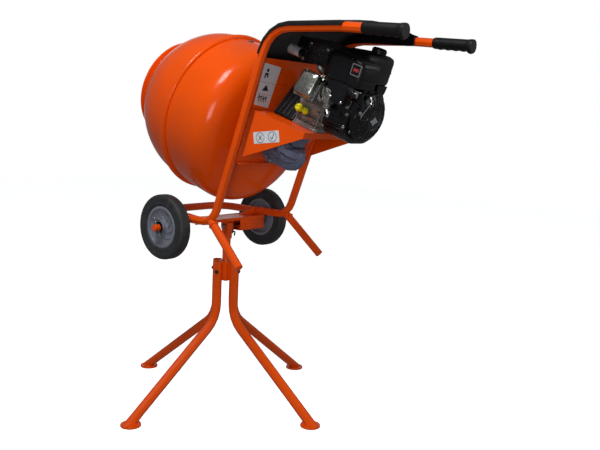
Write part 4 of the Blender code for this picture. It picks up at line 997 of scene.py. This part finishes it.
def build_fan_housing():
    """Ribs, bosses and bolts of the fan's shroud, and the recoil cover's ribs and badge."""
    rear = 0.654
    ribs = bmesh.new()
    for height in (0.15, 0.166, 0.182, 0.198):
        add_box(ribs, (0.0925, 0.566, height), (0.0985, 0.64, height + 0.004), DRUM, 0.0012)
    add_box(ribs, (0.092, 0.64, 0.15), (0.099, 0.6525, 0.23), DRUM, 0.0015)
    bolts = bmesh.new()
    boss = [(0.0, 0.006), (0.0062, 0.006), (0.007, -0.001), (0.0, -0.001)]
    for angle in (35, 75, 105, 145, 215, 325):
        spot = polar(0.09, angle)
        x = max(-0.082, min(0.088, spot.x))
        h = CRANK_HEIGHT + spot.y
        add_lathe(ribs, boss, level_back(x, rear, h), 16)
        if angle not in (75, 105):
            add_bolt(bolts, facing_back(x, rear + 0.006, h), 0.0085, 0.004)
    piece("fan_housing_ribs", ribs, "black_paint")
    add_bolt(bolts, facing_side(0.0985, 0.646, 0.18), 0.0085, 0.005)
    add_bolt(bolts, facing_side(0.0985, 0.646, 0.225), 0.0085, 0.005)
    piece("fan_housing_bolts", bolts, "zinc_plate")
    slots = bmesh.new()
    cover = level_back(0.0, 0.0, CRANK_HEIGHT)
    for angle in range(0, 360, 15):
        reaches = ((0.036, 0.6878), (0.0655, 0.6836), (0.083, 0.673))
        add_tube(slots, [polar(reach, angle, w) for reach, w in reaches], 0.0021, cover, 8)
    for radius, w in ((0.035, 0.6882), (0.067, 0.6832), (0.085, 0.67)):
        add_tube(slots, circle(radius, 60, w), 0.0022, cover, 8, True)
    piece("recoil_cover_ribs", slots, "black_paint")
    badge = bmesh.new()
    lozenge = [(0.0, 0.0165), (0.0085, 0.0085), (0.024, 0.0), (0.0085, -0.0085), (0.0, -0.0165),
               (-0.0085, -0.0085), (-0.024, 0.0), (-0.0085, 0.0085)]
    add_prism(badge, [(x, CRANK_HEIGHT + h) for x, h in lozenge], 0.6915, 0.694, REAR)
    piece("recoil_badge", badge, CHROME)


def build_levers():
    """The governor's arm, its rod, the two slide levers and the stop switch's plate."""
    steel = bmesh.new()
    add_box(steel, (0.096, 0.622, 0.285), (0.0985, 0.664, 0.305), DRUM, 0.0006)
    add_box(steel, (0.099, 0.628, 0.2995), (0.108, 0.652, 0.302), DRUM, 0.0006)
    add_box(steel, (0.099, 0.64, 0.308), (0.11, 0.676, 0.311), DRUM, 0.0006)
    rod = [(0.1, 0.703, 0.237), (0.1, 0.718, 0.274), (0.1, 0.725, 0.292),
           (0.094, 0.71, 0.309), (0.086, 0.676, 0.31)]
    add_tube(steel, smooth_path(rod, 4), 0.0016, DRUM, 8)
    link = [(0.135, 0.594, 0.207), (0.127, 0.576, 0.224), (0.127, 0.566, 0.24)]
    add_tube(steel, link, 0.0018, DRUM, 8)
    add_box(steel, (0.133, 0.59, 0.196), (0.135, 0.601, 0.218), DRUM, 0.0006)
    piece("governor_linkage", steel, CHROME)
    bolts = bmesh.new()
    add_bolt(bolts, facing_side(0.0985, 0.628, 0.29), 0.007, 0.003)
    add_bolt(bolts, facing_side(0.0985, 0.659, 0.29), 0.007, 0.003)
    add_bolt(bolts, facing_side(0.098, 0.696, 0.246), 0.009, 0.004)
    piece("lever_screws", bolts, "zinc_plate")
    bracket = bmesh.new()
    outline = [(0.656, 0.23), (0.698, 0.236), (0.702, 0.254), (0.682, 0.304), (0.656, 0.314)]
    add_prism(bracket, outline, 0.0935, 0.0965, SIDE)
    piece("lever_bracket", bracket, "black_paint")


def build_carburettor():
    """The carburettor's bowl, flanges and screws, and the fuel line."""
    parts = bmesh.new()
    add_lathe(parts, [(0.0, 0.008), (0.01, 0.008), (0.012, 0.006), (0.012, 0.0), (0.0, 0.0)],
              facing_side(0.138, 0.552, 0.247), 24)
    bowl = [(0.0, 0.026), (0.0125, 0.026), (0.014, 0.023), (0.014, 0.004), (0.01, 0.0), (0.0, 0.0)]
    add_lathe(parts, bowl, aimed((0.119, 0.57, 0.244), -Z_AXIS, DRUM), 28)
    add_box(parts, (0.101, 0.535, 0.236), (0.137, 0.5385, 0.288), DRUM, 0.001)
    add_box(parts, (0.101, 0.5815, 0.236), (0.137, 0.5845, 0.288), DRUM, 0.001)
    piece("carburettor_details", parts, "engine_casting")
    screws = bmesh.new()
    add_bolt(screws, aimed((0.119, 0.57, 0.218), (0.0, 0.0, -1.0), DRUM), 0.009, 0.004)
    for w, h in ((0.5435, 0.28), (0.5435, 0.242), (0.576, 0.28)):
        add_lathe(screws, [(0.0, 0.003), (0.002, 0.003), (0.0034, 0.0015), (0.0034, 0.0), (0.0, 0.0)],
                  facing_side(0.138, w, h), 14)
    piece("carburettor_screws", screws, "zinc_plate")
    line = bmesh.new()
    path = [(0.11, 0.56, 0.232), (0.09, 0.556, 0.225), (0.05, 0.553, 0.27),
            (0.01, 0.553, 0.305), (-0.01, 0.555, 0.319)]
    add_tube(line, smooth_path(path, 5), 0.0042, DRUM, 10)
    piece("fuel_line", line, "rubber")


# The stand and the swivel

STAND_SIDES = ((0.0, -1.0), (0.0, 1.0), (1.0, 0.0), (-1.0, 0.0))
LEG_BOLT_TURN = math.radians(38.0)
SOCKET_HALF = 0.0272


def build_stand():
    """Bolts through the legs, welds at the socket and a weld and a washer on each foot."""
    welds = bmesh.new()
    bolts = bmesh.new()
    for x, y in STAND_SIDES:
        out = Vector((x, y, 0.0))
        side = Vector((-y, x, 0.0))
        for reach in (-0.0092, 0.0092):
            seam = [out * 0.03 + side * reach + Z_AXIS * height for height in (0.494, 0.564)]
            add_bead(welds, seam, 0.003, BASE)
        direction = out * math.cos(LEG_BOLT_TURN) + side * math.sin(LEG_BOLT_TURN)
        place = out * 0.0484 + direction * 0.0187 + Z_AXIS * 0.53
        add_bolt(bolts, aimed(place, direction, BASE), 0.011, 0.005)
        ring = [out * (0.4718 + 0.0225 * spot.x) + side * 0.0185 * spot.y + Z_AXIS * 0.0085
                for spot in circle(1.0, 30)]
        add_bead(welds, ring + ring[:1], 0.0024, BASE)
        rim = [(0.0358, 0.001), (0.0375, 0.0006), (0.0384, -0.002), (0.038, -0.0066), (0.035, -0.0066),
               (0.035, 0.0006)]
        add_lathe(welds, rim, BASE @ Matrix.Translation(out * 0.474 + Z_AXIS * 0.0068), 48)
    piece("stand_welds", welds, "orange_paint", "stand")
    piece("stand_bolts", bolts, "black_paint", "stand")
    top = bmesh.new()
    loop = [(x * SOCKET_HALF, y * SOCKET_HALF, 0.5682) for x, y in ((1, 1), (-1, 1), (-1, -1), (1, -1))]
    add_tube(top, loop, 0.0014, BASE, 8, True)
    piece("socket_rim", top, "orange_paint", "stand")
    collar = bmesh.new()
    washer = [(0.0168, 0.003), (0.0205, 0.003), (0.0215, 0.0022), (0.0215, 0.0006), (0.0168, 0.0006)]
    add_lathe(collar, washer, BASE @ Matrix.Translation((0.0, 0.0, 0.568)), 40)
    piece("swivel_washer", collar, "zinc_plate", "swivel")


def build_tilting_parts():
    """Bolts, welds and the small parts of the tilting beam and its latch."""
    ends = bmesh.new()
    joint = BASE @ Matrix.Translation((0.0, 0.0, TILT.z))
    add_bolt(ends, aimed((-0.018, 0.0, 0.0), (-1.0, 0.0, 0.0), joint), 0.013, 0.006, 0.002)
    add_bolt(ends, aimed((0.02, 0.0, 0.0), (1.0, 0.0, 0.0), joint), 0.013, 0.007)
    piece("tilt_pin_nuts", ends, "zinc_plate")
    welds = bmesh.new()
    for sign in (-1.0, 1.0):
        for y in (-0.0785, 0.0235):
            line = [(sign * 0.1975, y, 0.744), (sign * 0.199, y, 0.752)]
            add_bead(welds, line, 0.0028, BASE)
        add_bead(welds, [(sign * 0.1972, -0.072, 0.7462), (sign * 0.1985, 0.018, 0.7462)], 0.0028, BASE)
        add_bead(welds, [(sign * 0.0165, -0.015, 0.7418), (sign * 0.0165, 0.015, 0.7418)], 0.0022, BASE)
    add_bead(welds, [(-0.19, -0.028, 0.7422), (-0.055, -0.028, 0.7422)], 0.002, BASE)
    piece("beam_welds", welds, "orange_paint")
    grip = bmesh.new()
    lever = aimed(Vector(JOINTS["latch_turn"]["pos_m"]), (1.0, 0.0, 0.0))
    cap = [(0.0, 0.005), (0.006, 0.005), (0.0072, 0.004), (0.0072, 0.0022), (0.0, 0.0022)]
    add_lathe(grip, cap, lever, 20)
    path = [(0.0, -0.0035, -0.03), (-0.006, 0.006, -0.03), (-0.008, 0.004, -0.035),
            (-0.01, -0.001, -0.047)]
    add_tube(grip, path, 0.003, Matrix.Translation(JOINTS["latch_turn"]["pos_m"]))
    piece("latch_lever_cap", grip, "black_paint", "latch_lever")
    face = bmesh.new()
    add_box(face, (-0.194, 0.0215, 0.6925), (-0.053, 0.0238, 0.7405), BASE, 0.0006)
    add_box(face, (-0.194, 0.0205, 0.69), (-0.053, 0.0262, 0.6925), BASE, 0.0008)
    piece("latch_face", face, "orange_paint")


# The tubular frame

SIDE_X = 0.2145
HANDLE_X = 0.218
TUBE_RADIUS = 0.0159


def build_frame_welds():
    """Weld beads along the tube frame and plugs in the ends of the rear legs."""
    welds = bmesh.new()
    for sign in (-1.0, 1.0):
        seam = [(sign * SIDE_X + spot.x, -0.0152, 0.757 + spot.y)
                for spot in circle(TUBE_RADIUS + 0.0004, 24)]
        add_bead(welds, seam + seam[:1], 0.0019, BASE)
        start = Vector((sign * 0.2168, 0.144, 0.7485))
        along = along_leg(sign)
        across = Vector((sign, 0.0, 0.0))
        across = (across - along * across.dot(along)).normalized()
        other = along.cross(across)
        ring = across_ring(start, across, other, circle(0.0166, 20))
        add_bead(welds, ring + ring[:1], 0.0026, BASE)
        for x in (0.201, 0.233):
            add_bead(welds, [(sign * x, -0.083, 0.7425), (sign * x, -0.037, 0.7425)], 0.0022, BASE)
    piece("frame_welds", welds, "orange_paint")
    plugs = bmesh.new()
    for sign in (-1.0, 1.0):
        place = aimed(leg_end(sign) - along_leg(sign) * 0.003, along_leg(sign), BASE)
        plug = [(0.0, 0.0042), (0.0095, 0.0042), (0.0137, 0.0034), (0.0137, 0.0), (0.0, 0.0)]
        add_lathe(plugs, plug, place, 28)
    piece("leg_end_plugs", plugs, "orange_paint")


def leg_end(sign):
    """The foot of a rear leg, from the stand's foot."""
    return Vector((sign * 0.235, 0.298, 0.6125))


def along_leg(sign):
    """The direction of a rear leg, down and back from its side tube."""
    return (leg_end(sign) - Vector((sign * SIDE_X, 0.127, 0.763))).normalized()


GRIP_START = 0.7725
GRIP_LENGTH = 0.152


def build_grips():
    """Moulded rubber grips with four shallow finger hollows and a flared end."""
    fall = 0.0911
    direction = Vector((0.0, 1.0, -fall)).normalized()
    down = Vector((0.0, -fall, -1.0)).normalized()
    for side, sign in (("left", 1.0), ("right", -1.0)):
        start = BASE @ Vector((sign * HANDLE_X, GRIP_START, 1.446 - (GRIP_START - 0.68) * fall))
        grip = bmesh.new()
        rows = []
        sides = 28
        steps = 48
        for step in range(steps + 1):
            along = step / steps
            reach = along * GRIP_LENGTH
            spots = []
            for k in range(sides):
                turn = 2 * math.pi * k / sides
                below = max(0.0, math.cos(turn))
                radius = 0.02 + 0.0006 * along
                if 0.08 < along < 0.86:
                    wave = 0.5 - 0.5 * math.cos(2 * math.pi * (along - 0.08) / 0.195)
                    radius += (0.0022 * wave - 0.0006) * below
                if along < 0.04:
                    radius = 0.0182 + 0.0018 * along / 0.04
                if along > 0.86:
                    flare = math.sin(math.pi * min(1.0, (along - 0.86) / 0.14 * 0.8))
                    radius += (0.0018 + 0.0052 * below) * flare
                out = down * math.cos(turn) + X_AXIS * math.sin(turn)
                spots.append(start + direction * reach + out * radius)
            rows.append(place_ring(grip, spots))
        loft(grip, rows)
        grip = piece(f"grip_sleeve_{side}", grip, "rubber", angle=40.0)
        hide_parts(f"grip_{side}")


# The hood

def build_hood_lips_and_shade_sheet():
    """The moulded lips that turn in under the hood, beside each side tube. The right one is a flat skirt whose
    front part is painted shade: a black sheet over the tube's bend where the hood shades it.
    """
    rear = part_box("engine_hood")[1][1]
    lips = bmesh.new()
    upright = axes(Y_AXIS, Z_AXIS, X_AXIS, Vector())
    # Painted shade: the skirt's front part, ahead of about 0.29 back, is a black sheet that covers the lit tube
    # where the hood casts shade. The rest of the skirt is the hood's underside.
    skirt_and_shade_sheet = [(0.16, 1.47), (0.16, 1.43), (0.2, 1.438), (0.24, 1.443), (0.285, 1.443),
             (0.33, 1.44), (0.38, 1.4355), (0.43, 1.431), (0.47, 1.4275), (rear, 1.427),
             (rear, 1.46)]
    add_prism(lips, skirt_and_shade_sheet, -0.198, -0.1955, upright)
    inner = 0.1985
    rows = []
    for y, z, depth in ((0.33, 1.456, 0.02), (0.38, 1.4545, 0.034), (0.43, 1.45, 0.046),
                        (0.47, 1.4465, 0.04), (rear, 1.444, 0.016)):
        spots = [(inner, y, z + 0.012), (inner, y, z - 0.01), (inner - depth, y, z - 0.004),
                 (inner - depth, y, z - 0.001), (inner - 0.004, y, z + 0.006)]
        rows.append(place_ring(lips, spots))
    loft(lips, rows)
    piece("hood_lips_and_shade_sheet", lips, "black_plastic")


# The wheels

WHEEL_OUTER_X = 0.3036
WHEEL_WIDTH = 0.052


def build_wheels():
    """Both wheels: axle washers, spring clips, tyres and hubs."""
    for side, sign in (("left", 1.0), ("right", -1.0)):
        centre = Vector(JOINTS[f"{side}_wheel_spin"]["pos_m"])
        centre.x = sign * (WHEEL_OUTER_X - WHEEL_WIDTH / 2)
        wheel = axes(Y_AXIS, Z_AXIS, X_AXIS * sign, centre)
        build_tyre(side, wheel)
        build_hub(side, wheel)
        axle = bmesh.new()
        washer = wheel @ Matrix.Translation((0.0, 0.0, WHEEL_WIDTH / 2 + 0.0024))
        disc = [(0.013, 0.0018), (0.0225, 0.0018), (0.0232, 0.001), (0.0232, 0.0), (0.013, 0.0)]
        add_lathe(axle, disc, washer, 36)
        piece(f"wheel_washer_{side}", axle, "black_plastic")
        clip = bmesh.new()
        path = [(0.003, -0.036, 0.0), (0.0022, -0.01, 0.0), (0.0008, 0.012, 0.0), (0.0, 0.034, 0.0),
                (-0.005, 0.044, 0.0), (-0.013, 0.043, 0.0), (-0.017, 0.034, 0.0), (-0.015, 0.02, 0.0),
                (-0.0175, 0.006, 0.0), (-0.015, -0.01, 0.0), (-0.0175, -0.024, 0.0)]
        turned = washer @ Matrix.Translation((0.0, 0.0, 0.0085)) @ Matrix.Rotation(math.radians(24.0), 4, "Z")
        add_tube(clip, smooth_path(path, 5), 0.0016, turned, 8)
        piece(f"wheel_clip_{side}", clip, CHROME)
        cap = bmesh.new()
        add_lathe(cap, [(0.0, 0.0012), (0.0105, 0.0012), (0.0122, 0.0), (0.0, 0.0)],
                  aimed((sign * 0.33, centre.y, centre.z), (sign, 0.0, 0.0)), 28)
        piece(f"axle_end_{side}", cap, "orange_paint")


def build_tyre(side, wheel):
    """A solid tyre with a rounded tread, shoulder grooves and raised rings on its walls."""
    outline = [(0.0815, 0.0205), (0.086, 0.0222), (0.088, 0.0236), (0.0905, 0.0238), (0.0925, 0.0226),
               (0.0985, 0.0234), (0.1045, 0.0243), (0.11, 0.0246), (0.115, 0.0242), (0.119, 0.0228),
               (0.1221, 0.0202), (0.124, 0.0168), (0.1247, 0.0132), (0.1238, 0.0122), (0.1238, 0.0112),
               (0.1249, 0.0102), (0.125, 0.0)]
    tyre = bmesh.new()
    add_lathe(tyre, outline + [(radius, -reach) for radius, reach in outline[-2::-1]], wheel, 96)
    tyre = piece(f"tyre_body_{side}", tyre, "tyre_rubber", f"{side}_wheel", 42.0)
    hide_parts(f"tyre_{side}")


def build_hub(side, wheel):
    """A dished nylon hub: a rim, a recessed disc with curved vanes and a boss round the axle."""
    half = WHEEL_WIDTH / 2
    hub = bmesh.new()
    profile = [(0.0128, half + 0.002), (0.0215, half + 0.002), (0.0235, half + 0.0005), (0.0245, 0.014),
               (0.03, 0.0095), (0.044, 0.0085), (0.06, 0.01), (0.0675, 0.0125), (0.069, 0.018),
               (0.0705, 0.0206), (0.074, 0.0212), (0.079, 0.0206), (0.0812, 0.019), (0.0812, -0.019),
               (0.079, -0.0206), (0.0705, -0.0206), (0.069, -0.016), (0.0675, -0.004), (0.06, 0.002),
               (0.03, 0.0015), (0.025, -0.006), (0.0235, -half), (0.0128, -half)]
    add_lathe(hub, profile, wheel, 72)
    for vane in range(9):
        turn = 2 * math.pi * vane / 9
        path = []
        for step in range(9):
            share = step / 8
            angle = turn + 0.95 * share ** 1.3
            lift = 0.0112 + 0.0016 * math.sin(math.pi * share) + (0.003 if share < 0.1 else 0.0)
            path.append(polar(0.0235 + 0.0455 * share, math.degrees(angle), lift))
        rows = []
        for index, high in enumerate(path):
            along = path[min(index + 1, 8)] - path[min(index, 7)]
            across = Vector((-along.y, along.x, 0.0)).normalized() * 0.0017
            low = Vector((high.x, high.y, 0.005))
            spots = (low - across, high - across * 0.6, high + across * 0.6, low + across)
            rows.append(place_ring(hub, spots, wheel))
        loft(hub, rows)
    hub = piece(f"hub_body_{side}", hub, "grey_plastic", f"{side}_wheel")
    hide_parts(f"wheel_hub_{side}")


def main():
    """Builds each group of pieces in turn, then the room and the camera."""
    dress_nodes()
    build_drum()
    build_back_plate()
    build_tray()
    build_gearbox()
    build_belt_guard()
    build_crankcase()
    build_cylinder()
    build_muffler()
    build_tank()
    build_air_cleaner()
    build_fan_housing()
    build_levers()
    build_carburettor()
    build_stand()
    build_tilting_parts()
    build_frame_welds()
    build_grips()
    build_hood_lips_and_shade_sheet()
    build_wheels()
    build_studio()
    build_camera()


main()
